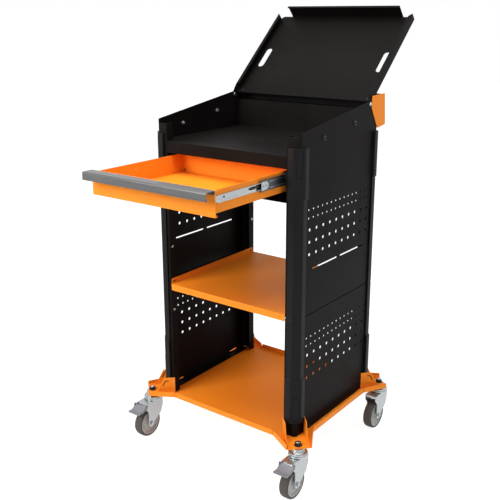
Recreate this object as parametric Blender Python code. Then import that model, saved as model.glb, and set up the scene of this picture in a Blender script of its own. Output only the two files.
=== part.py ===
"""Diagnostic trolley: a folded-sheet cabinet on four swivel casters, shown with its drawer pulled
out and its lid swung open. Metres, +Z up, front towards -Y. The origin is on the floor, under the
middle of the whole outline."""

import math

import bmesh
import bpy
from mathutils import Matrix, Vector

# General fits and sheet thicknesses
GAP = 0.0003
BOLT_PLAY = 0.0005
PANEL_SHEET = 0.0015
PAN_SHEET = 0.0020
BRACKET_SHEET = 0.0020
PLATE_SHEET = 0.0020
SLIDE_SHEET = 0.0012

# Cabinet
CABINET_WIDTH = 0.550
CABINET_DEPTH = 0.462
POST_FLANGE = 0.0445
POST_RETURN = 0.0280
CORNER_BEND = 0.0120
SIDE_PLAY = 0.0005
BASE_HEIGHT = 0.157
SEAM_HEIGHT = 0.551
FOOT_FLANGE = 0.0280
FRONT_TOP_HEIGHT = 1.1070
TOP_SLOPE_DEG = 8.35
FLANGE_DROP = 0.0090

# Perforated side panels: two rows of small holes, three rows of large ones, two long slots
SMALL_HOLE = 0.0064
SMALL_PITCH = 0.0254
SMALL_COUNT = 15
SMALL_SIDES = 6
LARGE_HOLE = 0.0100
LARGE_PITCH = 0.0381
LARGE_COUNT = 10
LARGE_ROWS = 3
LARGE_SIDES = 6
UPPER_SMALL_TO_LARGE = 0.0360
LOWER_SMALL_TO_LARGE = 0.0320
LARGE_TO_SLOT = 0.0480
SLOT_LENGTH = 0.1440
SLOT_HEIGHT = 0.0050
SLOT_BRIDGE = 0.0190
UPPER_ROW_RISE = 0.3300
LOWER_ROW_DROP = 0.0750
TAB_SLOT_LENGTH = 0.0400
TAB_SLOT_RISE = 0.0090
TAB_SLOT_SPREAD = 0.3100

# Base pan with an ear at each corner
PAN_MARGIN = 0.0240
PAN_LIP = 0.0180
EAR_REACH = 0.0590
EAR_HALF = 0.0400
EAR_NOTCH_BACK = 0.0680
LIP_NOTCH = 0.0030

# Corner guards
GUARD_LEG = 0.0345
GUARD_PROUD = 0.0100
GUARD_FACET = 0.0260
THIN_PROUD = 0.0055
THIN_FACET = 0.0200
GROOVE_DEPTH = 0.0010
GUARD_BELOW_TROUGH = 0.0100
GUARD_FOOT_RISE = 0.0480
GUARD_BUMPER = 0.1480
GUARD_STEP = 0.0040
GUARD_GROOVE = 0.0030

# Corner brackets over the ears
GUARD_PLAY = 0.0010
BRACKET_HEIGHT = 0.0580
BRACKET_END_HEIGHT = 0.0060
BRACKET_FLAT = 0.0040
BRACKET_KNEE = 0.0260
BRACKET_KNEE_HEIGHT = 0.0130
BRACKET_SETBACK = 0.0015

# Shelf, worktop, drawer bay and back wall
SHELF_RISE = 0.0100
SHELF_LIP = 0.0180
SHELF_APRON = 0.0220
SHELF_REAR_APRON = 0.0120
SHELF_REAR_SETBACK = 0.0060
SHELF_RELIEF = 0.0040
DECK_DROP = 0.0650
DECK_FLANGE = 0.0180
FASCIA_HEIGHT = 0.0370
BAY_DEPTH = 0.1400
BAY_PLAY = 0.0008
BAY_SETBACK = 0.0105
BAY_FLANGE = 0.0110
BACK_WALL_INSET = 0.0340
BACK_WALL_DROP = 0.0330
BACK_FLANGE = 0.0190
BACK_RELIEF = 0.0050

# Lid, modelled flat about its pivot axis
PIVOT_FROM_REAR = 0.0600
PIVOT_DROP = 0.0100
PIVOT_RADIUS = 0.0040
PIVOT_HEAD_RADIUS = 0.0060
PIVOT_HEAD = 0.0030
PIVOT_NUT = 0.0040
LID_PLAY = 0.0010
LID_SINK = 0.0020
LID_LENGTH = 0.4000
LID_PANEL_START = 0.0160
LID_CORNER = 0.0100
LID_TAIL = 0.0100
LID_TAIL_CUT = 0.0100
LID_FLANGE = 0.0260
LID_RETURN = 0.0120
LID_RETURN_START = 0.0300
LID_LIP_REACH = 0.0030
LID_LIP = 0.0490
LID_LIP_PLAY = 0.0035
LID_HEM = 0.0090
LID_OPEN_DEG = 146.0
STOP_TAB = 0.0200
HAND_SLOT_LENGTH = 0.0900
HAND_SLOT_WIDTH = 0.0230
HAND_SLOT_FROM_PIVOT = 0.1880
HAND_SLOT_FROM_EDGE = 0.0335

# Tool trough across the back, between two end plates
TROUGH_DEPTH = 0.0402
TROUGH_MOUTH = 0.0299
TROUGH_DROP = 0.0788
TROUGH_HEIGHT = 0.1038
TROUGH_TILT = 0.0071
TROUGH_HEM = 0.0070
PLATE_MARGIN = 0.0025
PLATE_LAP = 0.0490
PLATE_LAP_DROP = 0.0030
PLATE_HEEL = 0.0095
PLATE_NOSE = 0.0520
PLATE_NOSE_DROP = 0.0130

# Drawer
DRAWER_OPEN = 0.3180
DRAWER_DEPTH = 0.3770
DRAWER_FRONT_PLAY = 0.0020
DRAWER_FRONT_HEIGHT = 0.0710
DRAWER_FRONT_RISE = 0.0260
DRAWER_BOX_LIFT = 0.0070
DRAWER_RIM_DROP = 0.0020
DRAWER_HEM = 0.0090
DRAWER_CURL = 0.0050
DRAWER_TOP_FOLD = 0.0080

# Drawer pull, an extruded channel along the top of the drawer front
PULL_REACH = 0.0370
PULL_HEIGHT = 0.0240
PULL_RISE = 0.0020
PULL_WALL = 0.0025
PULL_ROUND = 0.0060
PULL_TOE = 0.0070
PULL_HEEL = 0.0120
PULL_ARC_STEPS = 3

# Three-part drawer slides
SLIDE_LENGTH = 0.3500
SLIDE_THICK = 0.0127
SLIDE_HEIGHT = 0.0350
SLIDE_MIDDLE_PLAY = 0.0008
SLIDE_INNER_HEIGHT = 0.0200
SLIDE_LIP = 0.0095
SLIDE_SETBACK = 0.0030
SLIDE_INNER_SETBACK = 0.0150
SLIDE_MIDDLE_OUT = 0.1190
SLIDE_DROP = 0.0250

# Casters
WHEEL_DIAMETER = 0.100
TYRE_WIDTH = 0.0320
TYRE_FLAT = 0.0180
TYRE_DEPTH = 0.0080
TYRE_SHOULDER = 0.0040
RIM_WIDTH = 0.0290
RIM_WALL = 0.0050
HUB_WIDTH = 0.0360
HUB_RADIUS = 0.0140
WEB_WIDTH = 0.0120
AXLE_RADIUS = 0.0040
AXLE_HEAD_RADIUS = 0.0075
AXLE_HEAD = 0.0050
CASTER_OUT = 0.0310
CASTER_TRAIL = 0.0320
FORK_SHEET = 0.0030
FORK_REAR = 0.0270
FORK_FRONT = 0.0585
FORK_SHOULDER = 0.0290
FORK_WAIST = 0.0110
FORK_WAIST_DROP = 0.0560
FORK_NOSE = 0.0210
FORK_NOTCH = 0.0330
FORK_BOSS = 0.0135
FORK_ARC_STEPS = 4
RACE_RADIUS = 0.0310
RACE_NECK_RADIUS = 0.0220
RACE_HEIGHT = 0.0260
RACE_RING = 0.0120
RACE_NECK = 0.0050
KING_PIN_RADIUS = 0.0055
KING_HEAD_RADIUS = 0.0100
KING_HEAD = 0.0025
STEM_RADIUS = 0.0060
STEM_PROUD = 0.0020
NUT_RADIUS = 0.0095
NUT_HEIGHT = 0.0100
NUT_FLANGE_RADIUS = 0.0125
NUT_FLANGE = 0.0025
PEDAL_SHEET = 0.0025
PEDAL_PIN_RADIUS = 0.0030
PEDAL_PIN_HEAD_RADIUS = 0.0045
PEDAL_PIN_HEAD = 0.0015
PEDAL_PIN_FORWARD = 0.0510
PEDAL_PIN_DROP = 0.0100
PEDAL_START = 0.0100
PEDAL_RISE = 0.0046
PEDAL_LENGTH = 0.0230
PEDAL_SLOPE_DEG = 34.0
PEDAL_TREAD = 0.0185
PEDAL_TREAD_SLOPE_DEG = 9.0
PEDAL_LUG = 0.0080
PEDAL_BOSS = 0.0065
WHEEL_SEGMENTS = 20
RACE_SEGMENTS = 12
BOLT_SEGMENTS = 8
PIN_SEGMENTS = 8

# Positions that follow from the sizes above
HALF_WIDTH = CABINET_WIDTH / 2
HALF_DEPTH = CABINET_DEPTH / 2
BEND_X = HALF_WIDTH - CORNER_BEND
BEND_Y = HALF_DEPTH - CORNER_BEND
POST_EDGE = HALF_WIDTH - POST_FLANGE
RETURN_Y = HALF_DEPTH - POST_RETURN
INNER_HALF = HALF_WIDTH - PANEL_SHEET - SIDE_PLAY
OPENING_HALF = POST_EDGE - SIDE_PLAY
FLOOR_HEIGHT = BASE_HEIGHT + PAN_SHEET
TOP_SLOPE = math.radians(TOP_SLOPE_DEG)
BRACKET_HALF = (GUARD_LEG + GUARD_PROUD) / math.sqrt(2) + GUARD_PLAY + BRACKET_SHEET
BRACKET_TOP = FLOOR_HEIGHT + GAP + BRACKET_SHEET
DECK_HEIGHT = FRONT_TOP_HEIGHT - DECK_DROP
BAY_HEIGHT = DECK_HEIGHT - BAY_DEPTH
SHELF_HEIGHT = SEAM_HEIGHT + SHELF_RISE
BACK_WALL_Y = HALF_DEPTH - BACK_WALL_INSET
BACK_WALL_TOP = FRONT_TOP_HEIGHT + (BACK_WALL_Y + HALF_DEPTH) * math.tan(TOP_SLOPE) - BACK_WALL_DROP
BAY_HALF = POST_EDGE - BAY_PLAY
BAY_FRONT = -HALF_DEPTH + PANEL_SHEET + BAY_SETBACK
DECK_REAR = BACK_WALL_Y - GAP
SLIDE_OUTSIDE = BAY_HALF - PANEL_SHEET - GAP
DRAWER_HALF = BAY_HALF - PANEL_SHEET - SLIDE_THICK
DRAWER_FRONT_HALF = POST_EDGE - DRAWER_FRONT_PLAY
DRAWER_FRONT_BASE = BAY_HEIGHT + DRAWER_FRONT_RISE
DRAWER_FRONT_TOP = DRAWER_FRONT_BASE + DRAWER_FRONT_HEIGHT
SLIDE_MID_HEIGHT = DRAWER_FRONT_TOP - SLIDE_DROP
SLIDE_MIDDLE_HEIGHT = SLIDE_HEIGHT - 2 * SLIDE_SHEET - 2 * SLIDE_MIDDLE_PLAY
SLIDE_INNER_WEB = DRAWER_HALF + GAP
SLIDE_INNER_LIP = SLIDE_OUTSIDE - 2 * (SLIDE_SHEET + GAP) - SLIDE_INNER_WEB
LID_OPEN = math.radians(LID_OPEN_DEG)
LID_TILT = TOP_SLOPE - LID_OPEN
LID_HALF = HALF_WIDTH - PANEL_SHEET - LID_PLAY
LID_RISE = PIVOT_DROP * math.cos(TOP_SLOPE) - LID_SINK
LID_REACH = LID_LENGTH + LID_LIP_REACH
PIVOT_Y = HALF_DEPTH - PIVOT_FROM_REAR
PIVOT_Z = FRONT_TOP_HEIGHT + (PIVOT_Y + HALF_DEPTH) * math.tan(TOP_SLOPE) - PIVOT_DROP
TROUGH_BASE_HEIGHT = PIVOT_Z - TROUGH_DROP
GUARD_TOP_HEIGHT = TROUGH_BASE_HEIGHT - GUARD_BELOW_TROUGH
GUARD_FOOT_HEIGHT = FLOOR_HEIGHT + GUARD_FOOT_RISE
PLATE_INSIDE = HALF_WIDTH + GAP
WHEEL_RADIUS = WHEEL_DIAMETER / 2
RIM_RADIUS = WHEEL_RADIUS - TYRE_DEPTH - GAP
FORK_HALF = HUB_WIDTH / 2 + GAP + FORK_SHEET
FORK_TOP = BASE_HEIGHT - RACE_HEIGHT - 2 * GAP
PEDAL_HALF = FORK_HALF + GAP + PEDAL_SHEET
PEDAL_PIN_PLACE = (0, -PEDAL_PIN_FORWARD, FORK_TOP - PEDAL_PIN_DROP)
AXLE_PLACE = (0, -CASTER_TRAIL, WHEEL_RADIUS)
PULL_FRONT_Y = -HALF_DEPTH - DRAWER_OPEN - GAP - PULL_REACH
LID_REAR_Y = PIVOT_Y - LID_REACH * math.cos(LID_TILT) - LID_RISE * math.sin(LID_TILT)
ORIGIN_SHIFT = -(PULL_FRONT_Y + LID_REAR_Y) / 2
CORNERS = {"front_left": (-1, -1), "front_right": (1, -1), "rear_left": (-1, 1), "rear_right": (1, 1)}
SIDES = {"left": -1, "right": 1}


def clear_scene():
    for obj in list(bpy.data.objects):
        bpy.data.objects.remove(obj, do_unlink=True)


def finish(name, colour, roughness, metallic=0.0):
    """A plain surface finish."""
    material = bpy.data.materials.new(name)
    material.use_nodes = True
    shader = material.node_tree.nodes["Principled BSDF"]
    shader.inputs["Base Color"].default_value = (*colour, 1)
    shader.inputs["Roughness"].default_value = roughness
    shader.inputs["Metallic"].default_value = metallic
    material.diffuse_color = (*colour, 1)
    return material


def frame(name, parent, location, tilt=0.0):
    """An empty that carries pieces; what it carries turns about its axes."""
    empty = bpy.data.objects.new(name, None)
    empty.parent = parent
    empty.location = location
    empty.rotation_euler.x = tilt
    bpy.context.collection.objects.link(empty)
    return empty


def add(name, bm, material, parent, smooth=False):
    """Turns a bmesh into a placed object."""
    mesh = bpy.data.meshes.new(name)
    bm.to_mesh(mesh)
    bm.free()
    if smooth:
        mesh.shade_smooth()
        mesh.set_sharp_from_angle(angle=math.radians(35))
    if material:
        mesh.materials.append(material)
    obj = bpy.data.objects.new(name, mesh)
    obj.parent = parent
    bpy.context.collection.objects.link(obj)
    return obj


def folded(name, faces, sheet, material, parent):
    """A piece of folded sheet. The faces are its outer side and share their fold lines."""
    bm = bmesh.new()
    corners = {}
    for face in faces:
        loop = []
        for point in face:
            key = tuple(round(value, 6) for value in point)
            if key not in corners:
                corners[key] = bm.verts.new(point)
            loop.append(corners[key])
        bm.faces.new(loop)
    obj = add(name, bm, material, parent)
    wall = obj.modifiers.new("sheet", "SOLIDIFY")
    wall.thickness = sheet
    wall.offset = -1
    wall.use_even_offset = True
    wall.use_quality_normals = True
    return obj


def flange(start, end, bend, trim_start=0.0, trim_end=0.0):
    """The face that a sheet folds into along the edge from start to end of its neighbour."""
    start, end, bend = Vector(start), Vector(end), Vector(bend)
    along = (end - start).normalized()
    return [end, start, start + bend + along * trim_start, end + bend - along * trim_end]


def strip(path, half):
    """Faces of a sheet that is bent along a (y, z) path and runs from -half to half in X."""
    faces = []
    for here, there in zip(path, path[1:]):
        faces.append([(-half, *there), (half, *there), (half, *here), (-half, *here)])
    return faces


def mirrored(faces, side):
    """The faces as given for the right side (1), or their mirror image for the left (-1)."""
    if side > 0:
        return faces
    return [[(-x, y, z) for x, y, z in reversed(face)] for face in faces]


def prism(bm, outline, depth):
    """Adds a prism: a flat outline, anticlockwise for a viewer whom depth points at."""
    low = [bm.verts.new(point) for point in outline]
    high = [bm.verts.new(Vector(point) + Vector(depth)) for point in outline]
    bm.faces.new(low[::-1])
    bm.faces.new(high)
    for i in range(len(outline)):
        j = (i + 1) % len(outline)
        bm.faces.new((low[i], low[j], high[j], high[i]))


def circle(radius, sides, centre=(0.0, 0.0)):
    """Corners of a regular polygon round a circle of that radius, with a flat side down."""
    turn = math.pi / sides - math.pi / 2
    reach = radius / math.cos(math.pi / sides)
    points = []
    for i in range(sides):
        angle = turn + 2 * math.pi * i / sides
        points.append((centre[0] + reach * math.cos(angle), centre[1] + reach * math.sin(angle)))
    return points


def slot(length, height, centre=(0.0, 0.0)):
    """A slot with ends of three facets, its long way along the first axis."""
    radius = height / 2
    points = []
    for hand, turn in ((1, -90), (-1, 90)):
        middle = centre[0] + hand * (length / 2 - radius)
        for i in range(4):
            angle = math.radians(turn + 60 * i)
            points.append((middle + radius * math.cos(angle), centre[1] + radius * math.sin(angle)))
    return points


def turned(name, profile, segments, material, parent, place=(0, 0, 0), along="Z"):
    """A turned piece. The profile lists (radius, height) once round its section, up its outer side."""
    bm = bmesh.new()
    rings = []
    for radius, height in profile:
        if radius == 0:
            rings.append([bm.verts.new((0, 0, height))] * segments)
        else:
            rings.append([bm.verts.new((x, y, height)) for x, y in circle(radius, segments)])
    pairs = list(zip(rings, rings[1:]))
    if profile[0][0] > 0:
        pairs.append((rings[-1], rings[0]))
    for lower, upper in pairs:
        for i in range(segments):
            j = (i + 1) % segments
            bm.faces.new(list(dict.fromkeys((lower[i], lower[j], upper[j], upper[i]))))
    if along == "X":
        lay_down = Matrix.Rotation(math.pi / 2, 3, "Y") @ Matrix.Rotation(math.pi / 2, 3, "Z")
        bmesh.ops.rotate(bm, matrix=lay_down, verts=bm.verts)
    obj = add(name, bm, material, parent, smooth=True)
    obj.location = place
    return obj


def cut(obj, bm, label, parent):
    """Cuts the shapes in bm out of obj."""
    tool = add(f"{obj.name}_{label}", bm, None, parent)
    tool.hide_render = True
    tool.display_type = "WIRE"
    boolean = obj.modifiers.new(label, "BOOLEAN")
    boolean.operation = "DIFFERENCE"
    boolean.solver = "EXACT"
    boolean.object = tool


def bore_x(bm, radius, centre, depth, sides=BOLT_SEGMENTS):
    """Adds a bar along X to a cutter, centred on centre."""
    x, y, z = centre
    prism(bm, [(x - depth / 2, a, b) for a, b in circle(radius, sides, (y, z))], (depth, 0, 0))


def bore_z(bm, radius, centre, depth, sides=BOLT_SEGMENTS):
    """Adds an upright bar to a cutter, centred on centre."""
    x, y, z = centre
    prism(bm, [(a, b, z - depth / 2) for a, b in circle(radius, sides, (x, y))], (0, 0, depth))


def top_edge(y):
    """Height of the side panels' sloping top edge at depth y."""
    return FRONT_TOP_HEIGHT + (y + HALF_DEPTH) * math.tan(TOP_SLOPE)


def lid_underside(y):
    """Height of the open lid's outer face over depth y, which rests on the stop tabs."""
    lean = LID_OPEN - TOP_SLOPE
    return PIVOT_Z - (y - PIVOT_Y) * math.tan(lean) + LID_RISE / math.cos(lean)


def stem_centre(across, deep):
    return (across * (HALF_WIDTH + CASTER_OUT), deep * (HALF_DEPTH + CASTER_OUT))


def ear_corners(across, deep):
    """The four outline points of the base pan at one corner, from its front or rear edge to its side."""
    reach = EAR_REACH / math.sqrt(2)
    half = EAR_HALF / math.sqrt(2)
    local = [
        (-EAR_NOTCH_BACK, PAN_MARGIN),
        (reach - half, reach + half),
        (reach + half, reach - half),
        (PAN_MARGIN, -EAR_NOTCH_BACK),
    ]
    return [(across * (HALF_WIDTH + u), deep * (HALF_DEPTH + v), BASE_HEIGHT) for u, v in local]


def base_pan(root, material):
    """The bottom tray: lips up all round, notched where they turn out to the caster ears."""
    outline = []
    for key in ("front_right", "rear_right", "rear_left", "front_left"):
        across, deep = CORNERS[key]
        points = ear_corners(across, deep)
        outline.extend(points if across * deep < 0 else points[::-1])
    outline.reverse()
    up = (0, 0, PAN_LIP)
    faces = [outline]
    for i, start in enumerate(outline):
        end = outline[(i + 1) % len(outline)]
        place = i % 4
        if place == 1:
            continue
        trim_start = 0 if place == 2 else LIP_NOTCH
        trim_end = 0 if place == 0 else LIP_NOTCH
        faces.append(flange(start, end, up, trim_start, trim_end))
    pan = folded("base_pan", faces, PAN_SHEET, material, root)
    holes = bmesh.new()
    for across, deep in CORNERS.values():
        bore_z(holes, STEM_RADIUS + BOLT_PLAY, (*stem_centre(across, deep), BASE_HEIGHT), 4 * PAN_SHEET)
    cut(pan, holes, "stem_holes", root)


def corner_bracket(key, root, material):
    """A U-shaped bracket over an ear of the pan, its two wings flanking the cabinet's corner."""
    across, deep = CORNERS[key]
    low = FLOOR_HEIGHT + GAP
    tip = EAR_REACH - BRACKET_SETBACK
    back = -BRACKET_HALF - BRACKET_FLAT

    def corner(along, beside, height):
        u = (along - beside) / math.sqrt(2)
        v = (along + beside) / math.sqrt(2)
        return (across * (HALF_WIDTH + u), deep * (HALF_DEPTH + v), low + height)

    side = BRACKET_HALF
    faces = [[corner(back, -side, 0), corner(back, side, 0), corner(tip, side, 0), corner(tip, -side, 0)]]
    for beside in (-side, side):
        wing = [corner(tip, beside, 0), corner(back, beside, 0), corner(back, beside, BRACKET_HEIGHT),
                corner(BRACKET_FLAT, beside, BRACKET_HEIGHT),
                corner(BRACKET_KNEE, beside, BRACKET_KNEE_HEIGHT), corner(tip, beside, BRACKET_END_HEIGHT)]
        faces.append(wing if beside > 0 else wing[::-1])
    if across * deep < 0:
        faces = [face[::-1] for face in faces]
    bracket = folded(f"corner_bracket_{key}", faces, BRACKET_SHEET, material, root)
    tool = bmesh.new()
    xs = sorted((across * (HALF_WIDTH + GAP), across * (HALF_WIDTH - 2 * POST_FLANGE)))
    ys = sorted((deep * (HALF_DEPTH + GAP), deep * (HALF_DEPTH - 2 * POST_FLANGE)))
    base = low - BRACKET_SHEET
    post = [(xs[0], ys[0], base), (xs[1], ys[0], base), (xs[1], ys[1], base), (xs[0], ys[1], base)]
    prism(tool, post, (0, 0, BRACKET_HEIGHT + 3 * BRACKET_SHEET))
    bore_z(tool, STEM_RADIUS + BOLT_PLAY, (*stem_centre(across, deep), low), 5 * BRACKET_SHEET)
    cut(bracket, tool, "post_and_stem", root)


def hole_rows(side, top_row, small_to_large):
    """Cutter for the two rows of small holes and the rows of large ones, with the last row's height."""
    bm = bmesh.new()
    depth = 6 * PANEL_SHEET
    for row in range(2):
        for k in range(SMALL_COUNT):
            y = (k - (SMALL_COUNT - 1) / 2) * SMALL_PITCH
            centre = (side * HALF_WIDTH, y, top_row - row * SMALL_PITCH)
            bore_x(bm, SMALL_HOLE / 2, centre, depth, SMALL_SIDES)
    first = top_row - SMALL_PITCH - small_to_large
    for row in range(LARGE_ROWS):
        for k in range(LARGE_COUNT):
            y = (k - (LARGE_COUNT - 1) / 2) * LARGE_PITCH
            centre = (side * HALF_WIDTH, y, first - row * LARGE_PITCH)
            bore_x(bm, LARGE_HOLE / 2, centre, depth, LARGE_SIDES)
    return bm, first - (LARGE_ROWS - 1) * LARGE_PITCH


def slot_pair(bm, side, length, spread, height):
    """Adds two slots in line, spread apart at their middles, to a side panel's cutter."""
    start = side * HALF_WIDTH - 3 * PANEL_SHEET
    for hand in (-1, 1):
        outline = slot(length, SLOT_HEIGHT, (hand * spread / 2, height))
        prism(bm, [(start, y, z) for y, z in outline], (6 * PANEL_SHEET, 0, 0))


def panel_faces(low, front_top, web_front_top, rear_top, rear_flange, return_top):
    """Outer faces of a right-hand panel: return, post flange and bend, web, bend, post flange and return."""
    front, rear = -HALF_DEPTH, HALF_DEPTH
    return [
        [(POST_EDGE, -RETURN_Y, low), (POST_EDGE, front, low),
         (POST_EDGE, front, front_top), (POST_EDGE, -RETURN_Y, front_top)],
        [(POST_EDGE, front, low), (BEND_X, front, low), (BEND_X, front, front_top), (POST_EDGE, front, front_top)],
        [(BEND_X, front, low), (HALF_WIDTH, -BEND_Y, low),
         (HALF_WIDTH, -BEND_Y, web_front_top), (BEND_X, front, front_top)],
        [(HALF_WIDTH, -BEND_Y, low), (HALF_WIDTH, BEND_Y, low),
         (HALF_WIDTH, BEND_Y, rear_top), (HALF_WIDTH, -BEND_Y, web_front_top)],
        [(HALF_WIDTH, BEND_Y, low), (BEND_X, rear, low), (BEND_X, rear, rear_top), (HALF_WIDTH, BEND_Y, rear_top)],
        rear_flange,
        [(POST_EDGE, rear, low), (POST_EDGE, RETURN_Y, low),
         (POST_EDGE, RETURN_Y, return_top), (POST_EDGE, rear, return_top)],
    ]


def lower_panel(label, root, material):
    """A lower side panel, with a foot flange on the base pan's floor."""
    side = SIDES[label]
    low = FLOOR_HEIGHT + GAP
    top = SEAM_HEIGHT - GAP / 2
    rear = [(BEND_X, HALF_DEPTH, low), (POST_EDGE, HALF_DEPTH, low),
            (POST_EDGE, HALF_DEPTH, top), (BEND_X, HALF_DEPTH, top)]
    faces = panel_faces(low, top, top, top, rear, top)
    ends = (HALF_WIDTH, -BEND_Y, low), (HALF_WIDTH, BEND_Y, low)
    faces.append(flange(*ends, (-FOOT_FLANGE, 0, 0), CORNER_BEND, CORNER_BEND))
    panel = folded(f"side_panel_lower_{label}", mirrored(faces, side), PANEL_SHEET, material, root)
    holes, _ = hole_rows(side, SEAM_HEIGHT - LOWER_ROW_DROP, LOWER_SMALL_TO_LARGE)
    slot_pair(holes, side, TAB_SLOT_LENGTH, TAB_SLOT_SPREAD, FLOOR_HEIGHT + TAB_SLOT_RISE)
    cut(panel, holes, "holes", root)


def upper_panel(label, root, material):
    """An upper side panel. A tab on its rear post stops the lid."""
    side = SIDES[label]
    low = SEAM_HEIGHT + GAP / 2
    rear_top = top_edge(BEND_Y)
    stop_top = lid_underside(HALF_DEPTH - PANEL_SHEET) - 2 * GAP
    return_top = BACK_WALL_TOP - PANEL_SHEET - SIDE_PLAY
    tab_x = POST_EDGE + STOP_TAB
    rear = [(BEND_X, HALF_DEPTH, low), (POST_EDGE, HALF_DEPTH, low), (POST_EDGE, HALF_DEPTH, return_top),
            (POST_EDGE, HALF_DEPTH, stop_top), (tab_x, HALF_DEPTH, stop_top), (tab_x, HALF_DEPTH, rear_top),
            (BEND_X, HALF_DEPTH, rear_top)]
    front_top = FRONT_TOP_HEIGHT - FLANGE_DROP
    faces = panel_faces(low, front_top, top_edge(-BEND_Y), rear_top, rear, return_top)
    panel = folded(f"side_panel_upper_{label}", mirrored(faces, side), PANEL_SHEET, material, root)
    holes, last_row = hole_rows(side, SEAM_HEIGHT + UPPER_ROW_RISE, UPPER_SMALL_TO_LARGE)
    slot_pair(holes, side, SLOT_LENGTH, SLOT_LENGTH + SLOT_BRIDGE, last_row - LARGE_TO_SLOT)
    bore_x(holes, PIVOT_RADIUS + BOLT_PLAY, (side * HALF_WIDTH, PIVOT_Y, PIVOT_Z), 6 * PANEL_SHEET)
    cut(panel, holes, "holes", root)


def corner_guard(key, root, material):
    """A moulded strip over a post's corner: thick bumpers at both ends, a groove at the panel seam."""
    across, deep = CORNERS[key]
    inside = CORNER_BEND - GAP * (math.sqrt(2) - 1)
    thick = (GUARD_PROUD, GUARD_FACET - GUARD_PROUD)
    thin = (THIN_PROUD, THIN_FACET - THIN_PROUD)
    groove = (THIN_PROUD - GROOVE_DEPTH, THIN_FACET - THIN_PROUD)
    low_step = GUARD_FOOT_HEIGHT + GUARD_BUMPER
    high_step = GUARD_TOP_HEIGHT - GUARD_BUMPER
    half = GUARD_GROOVE / 2
    levels = [
        (GUARD_FOOT_HEIGHT, thick),
        (low_step, thick),
        (low_step + GUARD_STEP, thin),
        (SEAM_HEIGHT - 2 * half, thin),
        (SEAM_HEIGHT - half, groove),
        (SEAM_HEIGHT + half, groove),
        (SEAM_HEIGHT + 2 * half, thin),
        (high_step - GUARD_STEP, thin),
        (high_step, thick),
        (GUARD_TOP_HEIGHT, thick),
    ]
    bm = bmesh.new()
    rings = []
    for z, (proud, facet) in levels:
        section = [(-GUARD_LEG, proud), (-facet, proud), (proud, -facet), (proud, -GUARD_LEG),
                   (GAP, -GUARD_LEG), (GAP, -inside), (-inside, GAP), (-GUARD_LEG, GAP)]
        rings.append([bm.verts.new((across * (HALF_WIDTH + u), deep * (HALF_DEPTH + v), z)) for u, v in section])
    for lower, upper in zip(rings, rings[1:]):
        for i in range(len(lower)):
            j = (i + 1) % len(lower)
            bm.faces.new((lower[i], lower[j], upper[j], upper[i]))
    bm.faces.new(rings[0][::-1])
    bm.faces.new(rings[-1])
    bmesh.ops.recalc_face_normals(bm, faces=bm.faces)
    add(f"corner_guard_{key}", bm, material, root)


def middle_shelf(root, material):
    """A shelf between the posts: aprons down at the front and rear, side flanges up along the posts."""
    half = POST_EDGE - GAP - PANEL_SHEET
    front, rear = -HALF_DEPTH, HALF_DEPTH - SHELF_REAR_SETBACK
    floor = [(-half, front, SHELF_HEIGHT), (half, front, SHELF_HEIGHT),
             (half, rear, SHELF_HEIGHT), (-half, rear, SHELF_HEIGHT)]
    up = (0, 0, SHELF_LIP)
    faces = [floor]
    faces.append(flange(floor[0], floor[1], (0, 0, -SHELF_APRON)))
    faces.append(flange(floor[1], floor[2], up, SHELF_RELIEF, SHELF_RELIEF))
    faces.append(flange(floor[2], floor[3], (0, 0, -SHELF_REAR_APRON)))
    faces.append(flange(floor[3], floor[0], up, SHELF_RELIEF, SHELF_RELIEF))
    folded("middle_shelf", faces, PANEL_SHEET, material, root)


def worktop(root, material):
    """The deck, folded down into a fascia at the front and flanges against the side panels."""
    wide_front = -RETURN_Y + SIDE_PLAY
    outline = [(-OPENING_HALF, -HALF_DEPTH), (OPENING_HALF, -HALF_DEPTH), (OPENING_HALF, wide_front),
               (INNER_HALF, wide_front), (INNER_HALF, DECK_REAR), (-INNER_HALF, DECK_REAR),
               (-INNER_HALF, wide_front), (-OPENING_HALF, wide_front)]
    deck = [(x, y, DECK_HEIGHT) for x, y in outline]
    faces = [deck]
    faces.append(flange(deck[0], deck[1], (0, 0, -FASCIA_HEIGHT)))
    faces.append(flange(deck[3], deck[4], (0, 0, -DECK_FLANGE)))
    faces.append(flange(deck[5], deck[6], (0, 0, -DECK_FLANGE)))
    folded("worktop", faces, PANEL_SHEET, material, root)


def tray_floor(half, front, rear, height):
    """A floor whose outer side faces down: front left, rear left, rear right, front right."""
    return [(-half, front, height), (-half, rear, height), (half, rear, height), (half, front, height)]


def drawer_bay(root, material):
    """The bay under the deck: a floor and two walls that carry the slides, flanged in under the deck."""
    floor = tray_floor(BAY_HALF, BAY_FRONT, DECK_REAR, BAY_HEIGHT)
    up = (0, 0, DECK_HEIGHT - PANEL_SHEET - GAP - BAY_HEIGHT)
    left = flange(floor[0], floor[1], up)
    right = flange(floor[2], floor[3], up)
    faces = [floor, left, right]
    faces.append(flange(left[2], left[3], (BAY_FLANGE, 0, 0)))
    faces.append(flange(right[2], right[3], (-BAY_FLANGE, 0, 0)))
    folded("drawer_bay", faces, PANEL_SHEET, material, root)


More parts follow.
